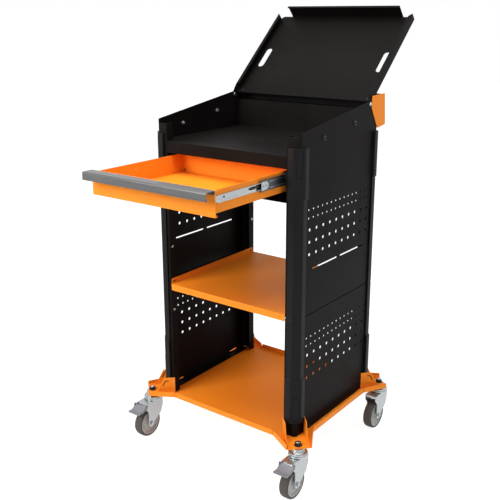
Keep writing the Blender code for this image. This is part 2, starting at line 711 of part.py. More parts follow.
def back_panel(root, material):
    """The rear wall of the compartment and the bay, flanged back at its top and along the side panels."""
    x, y, low, top = INNER_HALF, BACK_WALL_Y, BAY_HEIGHT, BACK_WALL_TOP
    side_top = top - BACK_RELIEF
    top_half = BEND_X - BACK_RELIEF
    wall = [(-x, y, low), (x, y, low), (x, y, side_top), (x, y, top), (top_half, y, top),
            (-top_half, y, top), (-x, y, top), (-x, y, side_top)]
    to_rear = HALF_DEPTH - PANEL_SHEET - SIDE_PLAY - y
    faces = [wall]
    faces.append(flange(wall[1], wall[2], (0, BACK_FLANGE, 0)))
    faces.append(flange(wall[4], wall[5], (0, to_rear, 0)))
    faces.append(flange(wall[7], wall[0], (0, BACK_FLANGE, 0)))
    folded("back_panel", faces, PANEL_SHEET, material, root)


def lid(root, material):
    """The lid: side flanges with returns, and a deep front lip that passes between the front posts."""
    pivot = frame("lid_axis", root, (0, PIVOT_Y, PIVOT_Z), LID_TILT)
    half, lip = LID_HALF, OPENING_HALF - LID_LIP_PLAY
    side_front = LID_CORNER - LID_LENGTH
    clipped = half - LID_CORNER
    outline = [(-half, side_front), (-clipped, -LID_LENGTH), (-lip, -LID_LENGTH), (-lip, -LID_REACH),
               (lip, -LID_REACH), (lip, -LID_LENGTH), (clipped, -LID_LENGTH), (half, side_front),
               (half, -LID_PANEL_START), (-half, -LID_PANEL_START)]
    panel = [(x, y, LID_RISE) for x, y in outline]
    edge = LID_RISE - LID_FLANGE
    side = [(half, -LID_PANEL_START, LID_RISE), (half, side_front, LID_RISE), (half, side_front, edge),
            (half, -LID_RETURN_START, edge), (half, LID_TAIL, edge + LID_TAIL_CUT), (half, LID_TAIL, LID_RISE)]
    inward = flange(side[2], side[3], (-LID_RETURN, 0, 0), LID_RETURN, LID_RETURN)
    front = flange(panel[3], panel[4], (0, 0, -LID_LIP))
    hem = flange(front[2], front[3], (0, LID_HEM, 0), LID_HEM / 2, LID_HEM / 2)
    faces = [panel, front, hem]
    for hand in SIDES.values():
        faces.extend(mirrored([side, inward], hand))
    obj = folded("lid", faces, PANEL_SHEET, material, pivot)
    tool = bmesh.new()
    for hand in SIDES.values():
        bore_x(tool, PIVOT_RADIUS + BOLT_PLAY, (hand * half, 0, 0), 6 * PANEL_SHEET)
        middle = hand * (half - HAND_SLOT_FROM_EDGE)
        outline = slot(HAND_SLOT_LENGTH, HAND_SLOT_WIDTH)
        low = LID_RISE - 3 * PANEL_SHEET
        prism(tool, [(middle - b, a - HAND_SLOT_FROM_PIVOT, low) for a, b in outline], (0, 0, 6 * PANEL_SHEET))
    cut(obj, tool, "bores_and_slots", pivot)


def lid_pivot(label, root, material):
    """A shoulder bolt through the side panel and the lid's flange, with its nut inside."""
    nut = LID_HALF - PANEL_SHEET - GAP
    head = HALF_WIDTH + GAP
    profile = [(0, nut - PIVOT_NUT), (PIVOT_HEAD_RADIUS, nut - PIVOT_NUT), (PIVOT_HEAD_RADIUS, nut),
               (PIVOT_RADIUS, nut), (PIVOT_RADIUS, head), (PIVOT_HEAD_RADIUS, head),
               (PIVOT_HEAD_RADIUS, head + PIVOT_HEAD), (0, head + PIVOT_HEAD)]
    if SIDES[label] < 0:
        profile = [(radius, -x) for radius, x in reversed(profile)]
    turned(f"lid_pivot_{label}", profile, PIN_SEGMENTS, material, root, (0, PIVOT_Y, PIVOT_Z), "X")


def rear_trough(root, material):
    """A trough for tools across the back, folded from one strip."""
    front = HALF_DEPTH + GAP
    low = TROUGH_BASE_HEIGHT
    path = [(front, low + TROUGH_HEIGHT - PLATE_LAP_DROP), (front, low),
            (front + TROUGH_DEPTH, low + TROUGH_TILT), (front + TROUGH_MOUTH, low + TROUGH_HEIGHT),
            (front + TROUGH_MOUTH - TROUGH_HEM, low + TROUGH_HEIGHT)]
    folded("rear_trough", strip(path, HALF_WIDTH), PANEL_SHEET, material, root)


def end_plate(label, root, material):
    """A five-sided plate that closes one end of the trough and laps onto the side panel."""
    side = SIDES[label]
    front = HALF_DEPTH + GAP
    low, top = TROUGH_BASE_HEIGHT, TROUGH_BASE_HEIGHT + TROUGH_HEIGHT
    outline = [(HALF_DEPTH - PLATE_NOSE, PIVOT_Z - PLATE_NOSE_DROP),
               (HALF_DEPTH - PLATE_HEEL, low - PLATE_MARGIN),
               (front + TROUGH_DEPTH + PLATE_MARGIN, low + TROUGH_TILT - PLATE_MARGIN),
               (front + TROUGH_MOUTH + PLATE_MARGIN, top + PLATE_MARGIN),
               (HALF_DEPTH - PLATE_LAP, top + PLATE_MARGIN - PLATE_LAP_DROP)]
    start = PLATE_INSIDE if side > 0 else -PLATE_INSIDE - PLATE_SHEET
    bm = bmesh.new()
    prism(bm, [(start, y, z) for y, z in outline], (PLATE_SHEET, 0, 0))
    add(f"trough_end_plate_{label}", bm, material, root)


def drawer_front(drawer, material):
    """The drawer's front, folded over the box at its top and hemmed and curled at its foot."""
    face, base, top = -HALF_DEPTH, DRAWER_FRONT_BASE, DRAWER_FRONT_TOP
    path = [(face + DRAWER_TOP_FOLD, top), (face, top), (face, base),
            (face + DRAWER_HEM, base), (face + DRAWER_HEM, base + DRAWER_CURL)]
    folded("drawer_front", strip(path, DRAWER_FRONT_HALF), PANEL_SHEET, material, drawer)


def drawer_box(drawer, material):
    """The open box behind the drawer's front."""
    front = -HALF_DEPTH + PANEL_SHEET + GAP
    base = DRAWER_FRONT_BASE + DRAWER_BOX_LIFT
    floor = tray_floor(DRAWER_HALF, front, -HALF_DEPTH + DRAWER_DEPTH, base)
    up = (0, 0, DRAWER_FRONT_TOP - DRAWER_RIM_DROP - base)
    faces = [floor]
    for i, start in enumerate(floor):
        faces.append(flange(start, floor[(i + 1) % len(floor)], up))
    folded("drawer_box", faces, PANEL_SHEET, material, drawer)


def drawer_handle(drawer, material):
    """An extruded channel, open below for the fingers, with a heel on the front and a turned-in toe."""
    back = -HALF_DEPTH - GAP
    front = back - PULL_REACH
    top = DRAWER_FRONT_TOP + PULL_RISE
    low = top - PULL_HEIGHT
    inner = PULL_ROUND - PULL_WALL

    def bend(radius, angles):
        points = []
        for angle in angles:
            y = front + PULL_ROUND + radius * math.cos(angle)
            points.append((y, top - PULL_ROUND + radius * math.sin(angle)))
        return points

    quarter = [math.pi / 2 * (1 + i / PULL_ARC_STEPS) for i in range(PULL_ARC_STEPS + 1)]
    outline = [(back, top - PULL_HEEL), (back, top)]
    outline += bend(PULL_ROUND, quarter)
    outline += [(front, low), (front + PULL_TOE, low), (front + PULL_TOE, low + PULL_WALL),
                (front + PULL_WALL, low + PULL_WALL)]
    outline += bend(inner, quarter[::-1])
    outline += [(back - PULL_WALL, top - PULL_WALL), (back - PULL_WALL, top - PULL_HEEL)]
    bm = bmesh.new()
    half = DRAWER_FRONT_HALF
    prism(bm, [(-half, y, z) for y, z in outline], (2 * half, 0, 0))
    add("drawer_handle", bm, material, drawer)


def slide_member(name, web, faces_right, lip, height, front, material, parent):
    """One channel of a drawer slide, its web at X = web and its lips away from the side it faces."""
    rear = front + SLIDE_LENGTH
    low, high = SLIDE_MID_HEIGHT - height / 2, SLIDE_MID_HEIGHT + height / 2
    back = [(0, front, low), (0, rear, low), (0, rear, high), (0, front, high)]
    faces = [back, flange(back[2], back[3], (-lip, 0, 0)), flange(back[0], back[1], (-lip, 0, 0))]
    member = folded(name, mirrored(faces, faces_right), SLIDE_SHEET, material, parent)
    member.location.x = web


def slides(label, root, drawer, light, dark):
    """The three members of one slide: on the bay wall, floating between, and on the drawer."""
    side = SIDES[label]
    front = -HALF_DEPTH + SLIDE_SETBACK
    middle = frame(f"slide_middle_{label}_travel", root, (0, -SLIDE_MIDDLE_OUT, 0))
    nest = SLIDE_SHEET + GAP
    slide_member(f"slide_outer_{label}", side * SLIDE_OUTSIDE, side, SLIDE_LIP, SLIDE_HEIGHT, front, dark, root)
    slide_member(f"slide_middle_{label}", side * (SLIDE_OUTSIDE - nest), side, SLIDE_LIP - nest,
                 SLIDE_MIDDLE_HEIGHT, front, dark, middle)
    slide_member(f"slide_inner_{label}", side * SLIDE_INNER_WEB, -side, SLIDE_INNER_LIP,
                 SLIDE_INNER_HEIGHT, -HALF_DEPTH + SLIDE_INNER_SETBACK, light, drawer)


def caster_raceway(key, place, root, material):
    """The caster's fixed half: threaded stem, raceway cup and the king pin with its head under the fork."""
    head_top = FORK_TOP - FORK_SHEET - GAP
    cup_low = FORK_TOP + GAP
    cup_top = BASE_HEIGHT - GAP
    stem_top = BRACKET_TOP + GAP + NUT_HEIGHT + STEM_PROUD
    profile = [(0, head_top - KING_HEAD), (KING_HEAD_RADIUS, head_top - KING_HEAD), (KING_HEAD_RADIUS, head_top),
               (KING_PIN_RADIUS, head_top), (KING_PIN_RADIUS, cup_low), (RACE_RADIUS, cup_low),
               (RACE_RADIUS, cup_low + RACE_RING), (RACE_NECK_RADIUS, cup_low + RACE_RING + RACE_NECK),
               (RACE_NECK_RADIUS, cup_top), (STEM_RADIUS, cup_top),
               (STEM_RADIUS, stem_top), (0, stem_top)]
    turned(f"caster_raceway_{key}", profile, RACE_SEGMENTS, material, root, (*place, 0))


def caster_nut(key, place, root, material):
    """The flange nut on the stem, over the corner bracket."""
    low = BRACKET_TOP + GAP
    bore = STEM_RADIUS + GAP
    profile = [(bore, low), (NUT_FLANGE_RADIUS, low), (NUT_FLANGE_RADIUS, low + NUT_FLANGE),
               (NUT_RADIUS, low + NUT_FLANGE), (NUT_RADIUS, low + NUT_HEIGHT), (bore, low + NUT_HEIGHT)]
    turned(f"caster_nut_{key}", profile, BOLT_SEGMENTS, material, root, (*place, 0))


def caster_fork(key, swivel, material, with_brake):
    """A folded fork: a top plate under the raceway and two notched legs that narrow to the axle."""
    top = [(-FORK_HALF, -FORK_FRONT, FORK_TOP), (FORK_HALF, -FORK_FRONT, FORK_TOP),
           (FORK_HALF, FORK_REAR, FORK_TOP), (-FORK_HALF, FORK_REAR, FORK_TOP)]
    leg = []
    _, axle_y, axle_z = AXLE_PLACE
    for i in range(FORK_ARC_STEPS + 1):
        angle = math.pi * (1 + i / FORK_ARC_STEPS)
        leg.append((FORK_HALF, axle_y + FORK_BOSS * math.cos(angle), axle_z + FORK_BOSS * math.sin(angle)))
    leg += [(FORK_HALF, FORK_REAR - FORK_WAIST, FORK_TOP - FORK_WAIST_DROP),
            (FORK_HALF, FORK_REAR, FORK_TOP - FORK_SHOULDER), top[2], top[1],
            (FORK_HALF, -FORK_FRONT, FORK_TOP - FORK_NOSE),
            (FORK_HALF, axle_y - FORK_BOSS, FORK_TOP - FORK_NOTCH)]
    faces = [top]
    for hand in SIDES.values():
        faces.extend(mirrored([leg], hand))
    fork = folded(f"caster_fork_{key}", faces, FORK_SHEET, material, swivel)
    tool = bmesh.new()
    bore_z(tool, KING_PIN_RADIUS + BOLT_PLAY, (0, 0, FORK_TOP), 4 * FORK_SHEET)
    bore_x(tool, AXLE_RADIUS + BOLT_PLAY, AXLE_PLACE, 4 * FORK_HALF)
    if with_brake:
        bore_x(tool, PEDAL_PIN_RADIUS + BOLT_PLAY, PEDAL_PIN_PLACE, 4 * FORK_HALF)
    cut(fork, tool, "bores", swivel)


def cross_pin(name, radius, head_radius, inside, head, place, material, parent):
    """A pin along X with a head at each end, its heads just outside +-inside."""
    near = inside + GAP
    far = near + head
    profile = [(0, -far), (head_radius, -far), (head_radius, -near), (radius, -near),
               (radius, near), (head_radius, near), (head_radius, far), (0, far)]
    turned(name, profile, PIN_SEGMENTS, material, parent, place, "X")


def wheel(key, swivel, rim_material, tyre_material):
    """A wheel: a webbed rim with its hub, and the tyre round it."""
    axle = frame(f"wheel_axle_{key}", swivel, AXLE_PLACE)
    bore, hub, web, wide = AXLE_RADIUS + BOLT_PLAY, HUB_WIDTH / 2, WEB_WIDTH / 2, RIM_WIDTH / 2
    well = RIM_RADIUS - RIM_WALL
    half_rim = [(bore, hub), (HUB_RADIUS, web), (well, web), (well, wide), (RIM_RADIUS, wide)]
    profile = [(radius, -x) for radius, x in half_rim] + half_rim[::-1]
    turned(f"caster_rim_{key}", profile, WHEEL_SEGMENTS, rim_material, axle, along="X")
    inner, half, flat = RIM_RADIUS + GAP, TYRE_WIDTH / 2, TYRE_FLAT / 2
    half_tyre = [(inner, half), (WHEEL_RADIUS - TYRE_SHOULDER, half), (WHEEL_RADIUS, flat)]
    profile = [(radius, -x) for radius, x in half_tyre] + half_tyre[::-1]
    turned(f"caster_tyre_{key}", profile, WHEEL_SEGMENTS, tyre_material, axle, along="X")


def brake_pedal(key, swivel, material):
    """A foot pedal folded from plate: two lugs on the fork's pin, a steep top and a flatter tread."""
    axis = frame(f"pedal_axis_{key}", swivel, PEDAL_PIN_PLACE)
    slope, steep = math.radians(PEDAL_SLOPE_DEG), math.radians(PEDAL_TREAD_SLOPE_DEG)
    heel = (-PEDAL_START, PEDAL_RISE)
    knee = (heel[0] - PEDAL_LENGTH * math.cos(slope), heel[1] - PEDAL_LENGTH * math.sin(slope))
    toe = (knee[0] - PEDAL_TREAD * math.cos(steep), knee[1] - PEDAL_TREAD * math.sin(steep))
    faces = strip([heel, knee, toe], PEDAL_HALF)
    lug = [heel, knee, (knee[0], knee[1] - PEDAL_LUG), (0, -PEDAL_BOSS), (PEDAL_BOSS, 0), (0, PEDAL_BOSS)]
    for hand in SIDES.values():
        faces.extend(mirrored([[(PEDAL_HALF, y, z) for y, z in lug]], hand))
    pedal = folded(f"brake_pedal_{key}", faces, PEDAL_SHEET, material, axis)
    tool = bmesh.new()
    bore_x(tool, PEDAL_PIN_RADIUS + BOLT_PLAY, (0, 0, 0), 4 * PEDAL_HALF)
    cut(pedal, tool, "pin_bore", axis)


def caster(key, root, looks):
    """One swivel caster, its wheel trailing to the front; the front pair has brakes."""
    across, deep = CORNERS[key]
    place = stem_centre(across, deep)
    with_brake = deep < 0
    caster_raceway(key, place, root, looks["zinc"])
    caster_nut(key, place, root, looks["black_steel"])
    swivel = frame(f"caster_swivel_{key}", root, (*place, 0))
    caster_fork(key, swivel, looks["zinc"], with_brake)
    cross_pin(f"caster_axle_{key}", AXLE_RADIUS, AXLE_HEAD_RADIUS, FORK_HALF, AXLE_HEAD, AXLE_PLACE,
              looks["zinc"], swivel)
    wheel(key, swivel, looks["rim"], looks["tyre"])
    if with_brake:
        brake_pedal(key, swivel, looks["pedal"])
        cross_pin(f"pedal_pin_{key}", PEDAL_PIN_RADIUS, PEDAL_PIN_HEAD_RADIUS, PEDAL_HALF, PEDAL_PIN_HEAD,
                  PEDAL_PIN_PLACE, looks["zinc"], swivel)


def main():
    clear_scene()
    looks = {
        "orange": finish("orange_powder_coat", (0.86, 0.25, 0.015), 0.45),
        "black": finish("black_powder_coat", (0.014, 0.013, 0.013), 0.5),
        "guard": finish("guard_plastic", (0.022, 0.021, 0.022), 0.6),
        "zinc": finish("zinc_plate", (0.60, 0.63, 0.62), 0.32, 1.0),
        "dark_zinc": finish("dark_slide_steel", (0.10, 0.11, 0.12), 0.35, 1.0),
        "aluminium": finish("brushed_aluminium", (0.42, 0.42, 0.42), 0.38, 1.0),
        "pedal": finish("pedal_grey", (0.30, 0.30, 0.34), 0.5, 0.3),
        "rim": finish("rim_grey_plastic", (0.40, 0.40, 0.38), 0.55),
        "tyre": finish("grey_rubber", (0.12, 0.11, 0.10), 0.8),
        "black_steel": finish("blackened_steel", (0.02, 0.02, 0.022), 0.4, 0.6),
    }
    root = frame("trolley", None, (0, ORIGIN_SHIFT, 0))
    base_pan(root, looks["orange"])
    for key in CORNERS:
        corner_bracket(key, root, looks["orange"])
        corner_guard(key, root, looks["guard"])
        caster(key, root, looks)
    middle_shelf(root, looks["orange"])
    worktop(root, looks["black"])
    drawer_bay(root, looks["black"])
    back_panel(root, looks["black"])
    lid(root, looks["black"])
    rear_trough(root, looks["black"])
    drawer = frame("drawer_travel", root, (0, -DRAWER_OPEN, 0))
    drawer_front(drawer, looks["orange"])
    drawer_box(drawer, looks["orange"])
    drawer_handle(drawer, looks["aluminium"])
    for label in SIDES:
        lower_panel(label, root, looks["black"])
        upper_panel(label, root, looks["black"])
        lid_pivot(label, root, looks["zinc"])
        end_plate(label, root, looks["orange"])
        slides(label, root, drawer, looks["zinc"], looks["dark_zinc"])


main()
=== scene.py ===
"""Looks of the diagnostic trolley. Every sheet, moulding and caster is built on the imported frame, in its
place at rest, and rides on the body that carries it. Metres, +Z up, front towards -Y."""

import math

import bmesh
import bpy
from mathutils import Matrix, Vector


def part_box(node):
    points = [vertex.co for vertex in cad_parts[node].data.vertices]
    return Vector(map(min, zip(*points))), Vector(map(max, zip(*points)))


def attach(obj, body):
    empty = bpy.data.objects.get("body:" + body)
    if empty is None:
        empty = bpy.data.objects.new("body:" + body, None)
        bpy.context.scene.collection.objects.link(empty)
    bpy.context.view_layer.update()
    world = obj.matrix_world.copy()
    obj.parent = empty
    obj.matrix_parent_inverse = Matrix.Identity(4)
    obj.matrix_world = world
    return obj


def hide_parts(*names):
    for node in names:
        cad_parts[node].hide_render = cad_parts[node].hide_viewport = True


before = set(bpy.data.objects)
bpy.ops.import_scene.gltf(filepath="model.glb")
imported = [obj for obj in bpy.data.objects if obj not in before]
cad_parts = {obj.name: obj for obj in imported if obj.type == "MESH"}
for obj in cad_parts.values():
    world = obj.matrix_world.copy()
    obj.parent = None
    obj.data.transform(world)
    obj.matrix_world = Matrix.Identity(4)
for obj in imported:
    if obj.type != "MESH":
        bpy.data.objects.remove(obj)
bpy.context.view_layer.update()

# Sizes and places, in metres and radians
GAP = 0.0003
SHEET = 0.0015
PAN_SHEET = 0.0020
BRACKET_SHEET = 0.0020
SLIDE_SHEET = 0.0012
FORK_SHEET = 0.0030
PEDAL_SHEET = 0.0025
PANEL_BEND = 0.0024
TRAY_BEND = 0.0026
CORNER_RADIUS = 0.018
DRILL_DEPTH = 6 * SHEET
HALF_WIDTH = 0.275
HALF_DEPTH = 0.231
CORNER_BEND = 0.012
BEND_X = HALF_WIDTH - CORNER_BEND
BEND_Y = HALF_DEPTH - CORNER_BEND
POST_EDGE = HALF_WIDTH - 0.0445
RETURN_Y = HALF_DEPTH - 0.028
SIDE_PLAY = 0.0005
INNER_HALF = HALF_WIDTH - SHEET - SIDE_PLAY
OPENING_HALF = POST_EDGE - SIDE_PLAY
SEAM = 0.551
SEAM_LINE = 0.0026
BASE = 0.157
FLOOR = BASE + PAN_SHEET
FRONT_TOP = 1.107
TOP_SLOPE = math.radians(8.35)
DECK = FRONT_TOP - 0.065
BAY_FLOOR = DECK - 0.140
BACK_WALL_Y = HALF_DEPTH - 0.034
BAY_HALF = POST_EDGE - 0.0008
SMALL_PITCH, SMALL_HOLE = 0.0254, 0.0064
LARGE_PITCH, LARGE_HOLE = 0.0381, 0.0100
GUARD_WRAP = 0.0345
GUARD_THICK = 0.010
GUARD_FACET = 0.016
LID_SWING = math.radians(146)
LID_TILT = TOP_SLOPE - LID_SWING
LID_HALF = HALF_WIDTH - SHEET - 0.001
LID_RISE = 0.010 * math.cos(TOP_SLOPE) - 0.002
LID_LENGTH = 0.400
LID_REACH = 0.403
PIVOT_Y = HALF_DEPTH - 0.060
PIVOT_HOLE = 0.0044
DRAWER_OPEN = 0.318
DRAWER_BASE = BAY_FLOOR + 0.026
DRAWER_TOP = DRAWER_BASE + 0.071
DRAWER_FRONT_HALF = POST_EDGE - 0.002
DRAWER_HALF = BAY_HALF - SHEET - 0.0127
DRAWER_LENGTH = 0.377
SLIDE_Z = DRAWER_TOP - 0.025
SLIDE_LENGTH = 0.350
CARRIER_OPEN = 0.119
WHEEL_RADIUS = 0.050
FORK_HALF = 0.0213
FORK_TOP = BASE - 0.026 - 2 * GAP
AXLE_PLACE = Vector((0, -0.032, WHEEL_RADIUS))
PEDAL_PLACE = Vector((0, -0.051, FORK_TOP - 0.010))
KING_HOLE = 0.0059
AXLE_HOLE = 0.0044
PEDAL_HOLE = 0.0034
STEM_HOLE = 0.0064
CASTER_OUT = 0.031
EAR_REACH = 0.059
EAR_HALF = 0.040
NUT_SEAT = FLOOR + GAP + BRACKET_SHEET + GAP
DIAGONAL = math.sqrt(2)
CORNERS = {"front_left": (-1, -1), "front_right": (1, -1), "rear_left": (-1, 1), "rear_right": (1, 1)}
SIDES = {"left": -1, "right": 1}


def top_edge(y):
    """Height of the side panels' sloping top edge at depth y."""
    return FRONT_TOP + (y + HALF_DEPTH) * math.tan(TOP_SLOPE)


PIVOT_Z = top_edge(PIVOT_Y) - 0.010
TROUGH_BASE = PIVOT_Z - 0.0788
TROUGH_HEIGHT = 0.1038
GUARD_TOP = TROUGH_BASE - 0.010
GUARD_FOOT = FLOOR + 0.048
BACK_WALL_TOP = top_edge(BACK_WALL_Y) - 0.033
pan_low, pan_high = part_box("base_pan")
SHIFT = (pan_low.y + pan_high.y) / 2
TO_ROW = Matrix.Translation((0, SHIFT, 0))


# Finishes

def add_node(tree, kind, values=(), **settings):
    """Adds a shader node, with its settings and the values of its inputs."""
    node = tree.nodes.new(kind)
    for key, value in settings.items():
        setattr(node, key, value)
    for key, value in dict(values).items():
        node.inputs[key].default_value = value
    return node


def shade(colour, factor):
    """A colour made lighter or darker, with full alpha."""
    return (*[min(1.0, value * factor) for value in colour], 1.0)


def finish(name, colour, roughness, metallic=0.0, grain=900.0, relief=0.00006, drift=0.06, mottle=0.06,
           stretch=(1, 1, 1), worn=None, sheen=0.5, fine_share=0.35):
    """A surface with a fine grain, a slow drift in tone and gloss, and edges rubbed to the worn colour."""
    material = bpy.data.materials.new(name)
    material.use_nodes = True
    tree = material.node_tree
    link = tree.links.new
    shader = tree.nodes["Principled BSDF"]
    shader.inputs["Metallic"].default_value = metallic
    shader.inputs["Specular IOR Level"].default_value = sheen
    place = add_node(tree, "ShaderNodeTexCoord")
    turned_to = add_node(tree, "ShaderNodeMapping", {"Scale": stretch})
    link(place.outputs["Object"], turned_to.inputs["Vector"])
    fine = add_node(tree, "ShaderNodeTexNoise", {"Scale": grain, "Detail": 3.0, "Roughness": 0.6})
    broad = add_node(tree, "ShaderNodeTexNoise", {"Scale": 7.0, "Detail": 5.0, "Roughness": 0.55})
    link(turned_to.outputs["Vector"], fine.inputs["Vector"])
    link(place.outputs["Object"], broad.inputs["Vector"])
    bump = add_node(tree, "ShaderNodeBump", {"Strength": 0.6, "Distance": relief})
    link(fine.outputs[0], bump.inputs["Height"])
    link(bump.outputs["Normal"], shader.inputs["Normal"])
    gloss = add_node(tree, "ShaderNodeMapRange", {"From Min": 0.3, "From Max": 0.7,
                                                  "To Min": roughness - drift, "To Max": roughness + drift})
    link(broad.outputs[0], gloss.inputs["Value"])
    link(gloss.outputs["Result"], shader.inputs["Roughness"])
    blend = add_node(tree, "ShaderNodeMix", {"Factor": fine_share}, data_type="FLOAT")
    link(broad.outputs[0], blend.inputs["A"])
    link(fine.outputs[0], blend.inputs["B"])
    tone = add_node(tree, "ShaderNodeMix", data_type="RGBA")
    tone.inputs["A"].default_value = shade(colour, 1 - mottle)
    tone.inputs["B"].default_value = shade(colour, 1 + mottle)
    link(blend.outputs["Result"], tone.inputs["Factor"])
    last = tone.outputs["Result"]
    if worn:
        last = rubbed_edges(tree, last, broad.outputs[0], worn)
    link(last, shader.inputs["Base Color"])
    return material


def rubbed_edges(tree, colour, patches, worn):
    """Turns a colour to the worn one along sharp edges, in patches."""
    link = tree.links.new
    shape = add_node(tree, "ShaderNodeNewGeometry")
    edge = add_node(tree, "ShaderNodeMapRange", {"From Min": 0.53, "From Max": 0.62,
                                                 "To Min": 0.0, "To Max": 0.55})
    link(shape.outputs["Pointiness"], edge.inputs["Value"])
    patchy = add_node(tree, "ShaderNodeMath", operation="MULTIPLY")
    link(edge.outputs["Result"], patchy.inputs[0])
    link(patches, patchy.inputs[1])
    rub = add_node(tree, "ShaderNodeMix", data_type="RGBA")
    rub.inputs["B"].default_value = (*worn, 1.0)
    link(patchy.outputs["Value"], rub.inputs["Factor"])
    link(colour, rub.inputs["A"])
    return rub.outputs["Result"]


FINISHES = {
    "orange_powder_coat": dict(colour=(0.88, 0.250, 0.016), roughness=0.46, grain=700, relief=0.00008,
                               mottle=0.04, worn=(0.93, 0.34, 0.07), sheen=0.10),
    "black_powder_coat": dict(colour=(0.0052, 0.0043, 0.0040), roughness=0.43, grain=1100, relief=0.00012,
                              mottle=0.12, worn=(0.024, 0.022, 0.021), sheen=0.035),
    "guard_plastic": dict(colour=(0.0062, 0.0060, 0.0064), roughness=0.46, grain=1500, relief=0.00010,
                          mottle=0.12, worn=(0.030, 0.030, 0.032), sheen=0.12),
    "zinc_plate": dict(colour=(0.43, 0.46, 0.47), roughness=0.26, metallic=0.88, grain=260, relief=0.00002,
                       mottle=0.08, drift=0.07),
    "dark_slide_steel": dict(colour=(0.11, 0.12, 0.13), roughness=0.34, metallic=1.0, grain=220,
                             relief=0.00002, stretch=(1, 0.04, 1), mottle=0.12),
    "brushed_aluminium": dict(colour=(0.118, 0.118, 0.117), roughness=0.34, metallic=0.62, grain=560,
                              relief=0.00003, stretch=(0.004, 1, 1), mottle=0.85, fine_share=0.9),
    "pedal_grey": dict(colour=(0.20, 0.20, 0.225), roughness=0.45, metallic=0.25, grain=600, relief=0.00006,
                       mottle=0.08),
    "rim_grey_plastic": dict(colour=(0.46, 0.46, 0.445), roughness=0.5, grain=900, mottle=0.06),
    "grey_rubber": dict(colour=(0.058, 0.052, 0.047), roughness=0.72, grain=500, relief=0.0002,
                        mottle=0.15),
    "blackened_steel": dict(colour=(0.014, 0.014, 0.015), roughness=0.38, metallic=0.6, grain=800,
                            mottle=0.2),
}
LOOKS = {name: finish(name, **settings) for name, settings in FINISHES.items()}


# Mesh work shared by the pieces

def new_object(name, bm):
    """Makes an object of a bmesh, which is used up."""
    mesh = bpy.data.meshes.new(name)
    bm.to_mesh(mesh)
    bm.free()
    mesh.shade_smooth()
    obj = bpy.data.objects.new(name, mesh)
    bpy.context.scene.collection.objects.link(obj)
    return obj


def apply_modifiers(obj):
    """Makes the object's evaluated shape its own plain mesh."""
    bpy.context.view_layer.update()
    graph = bpy.context.evaluated_depsgraph_get()
    made = bpy.data.meshes.new_from_object(obj.evaluated_get(graph), preserve_all_data_layers=True,
                                           depsgraph=graph)
    old = obj.data
    obj.modifiers.clear()
    obj.data = made
    bpy.data.meshes.remove(old)


def settle(obj, look, body, nodes=(), place=Matrix(), crease=38):
    """Finishes a piece: plain mesh in the row frame, even shading, look, body and the nodes it replaces."""
    apply_modifiers(obj)
    obj.data.transform(TO_ROW @ place)
    obj.data.set_sharp_from_angle(angle=math.radians(crease))
    even = obj.modifiers.new("even_shading", "WEIGHTED_NORMAL")
    even.keep_sharp = True
    apply_modifiers(obj)
    obj.data.materials.clear()
    obj.data.materials.append(LOOKS[look])
    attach(obj, body)
    if nodes:
        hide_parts(*nodes)
    return obj


def soften(obj, width, segments=2, limit=35):
    """Rounds every edge sharper than the limit."""
    edges = obj.modifiers.new("soft_edges", "BEVEL")
    edges.width = width
    edges.segments = segments
    edges.limit_method = "ANGLE"
    edges.angle_limit = math.radians(limit)
    return obj


def rounded(outline, radius, steps=4, corners=None):
    """The outline with its corners, or only the numbered ones, rounded."""
    points = [Vector(point) for point in outline]
    result = []
    for i, here in enumerate(points):
        if corners is not None and i not in corners:
            result.append(here)
            continue
        back = points[i - 1] - here
        on = points[(i + 1) % len(points)] - here
        half = back.angle(on) / 2
        reach = min(radius / math.tan(half), 0.48 * back.length, 0.48 * on.length)
        back, on = back.normalized(), on.normalized()
        middle = here + (back + on).normalized() * (reach / math.cos(half))
        first, last = here + back * reach - middle, here + on * reach - middle
        sweep = math.pi - 2 * half
        for k in range(steps + 1):
            part = k / steps
            mix = first * math.sin((1 - part) * sweep) + last * math.sin(part * sweep)
            result.append(middle + mix / math.sin(sweep))
    return result


SLIGHT_FOLD = math.radians(60)


def folded(name, faces, thickness, bend=0.003, soft=None, rim=0.0004, steps=4):
    """Folded sheet. The faces are its outer side and share fold lines; slight folds take the soft radius."""
    bm = bmesh.new()
    corners = {}
    for face in faces:
        loop = []
        for point in face:
            key = tuple(round(value, 6) for value in point)
            if key not in corners:
                corners[key] = bm.verts.new(point)
            loop.append(corners[key])
        bm.faces.new(loop)
    widest = max(bend, soft or 0)
    weight = bm.edges.layers.float.new("bevel_weight_edge")
    for edge in bm.edges:
        if len(edge.link_faces) == 2:
            angle = edge.calc_face_angle(0)
            radius = soft if soft and angle < SLIGHT_FOLD else bend
            edge[weight] = min(1.0, radius * math.tan(angle / 2) / widest)
    obj = new_object(name, bm)
    folds = obj.modifiers.new("folds", "BEVEL")
    folds.limit_method = "WEIGHT"
    folds.width = widest
    folds.segments = steps
    folds.use_clamp_overlap = False
    wall = obj.modifiers.new("wall", "SOLIDIFY")
    wall.thickness = thickness
    wall.offset = -1
    wall.use_even_offset = True
    wall.use_quality_normals = True
    if rim:
        soften(obj, rim, 2, 62)
    return obj


def flange(start, end, bend, trim_start=0.0, trim_end=0.0, round_off=0.0):
    """The face that a sheet folds into along the edge from start to end of its neighbour."""
    start, end, bend = Vector(start), Vector(end), Vector(bend)
    along = (end - start).normalized()
    points = [end, start, start + bend + along * trim_start, end + bend - along * trim_end]
    return rounded(points, round_off, 4, (2, 3)) if round_off else points


def strip(path, half):
    """Faces of a sheet that is bent along a (y, z) path and runs from -half to half in X."""
    faces = []
    for here, there in zip(path, path[1:]):
        faces.append([(-half, *there), (half, *there), (half, *here), (-half, *here)])
    return faces


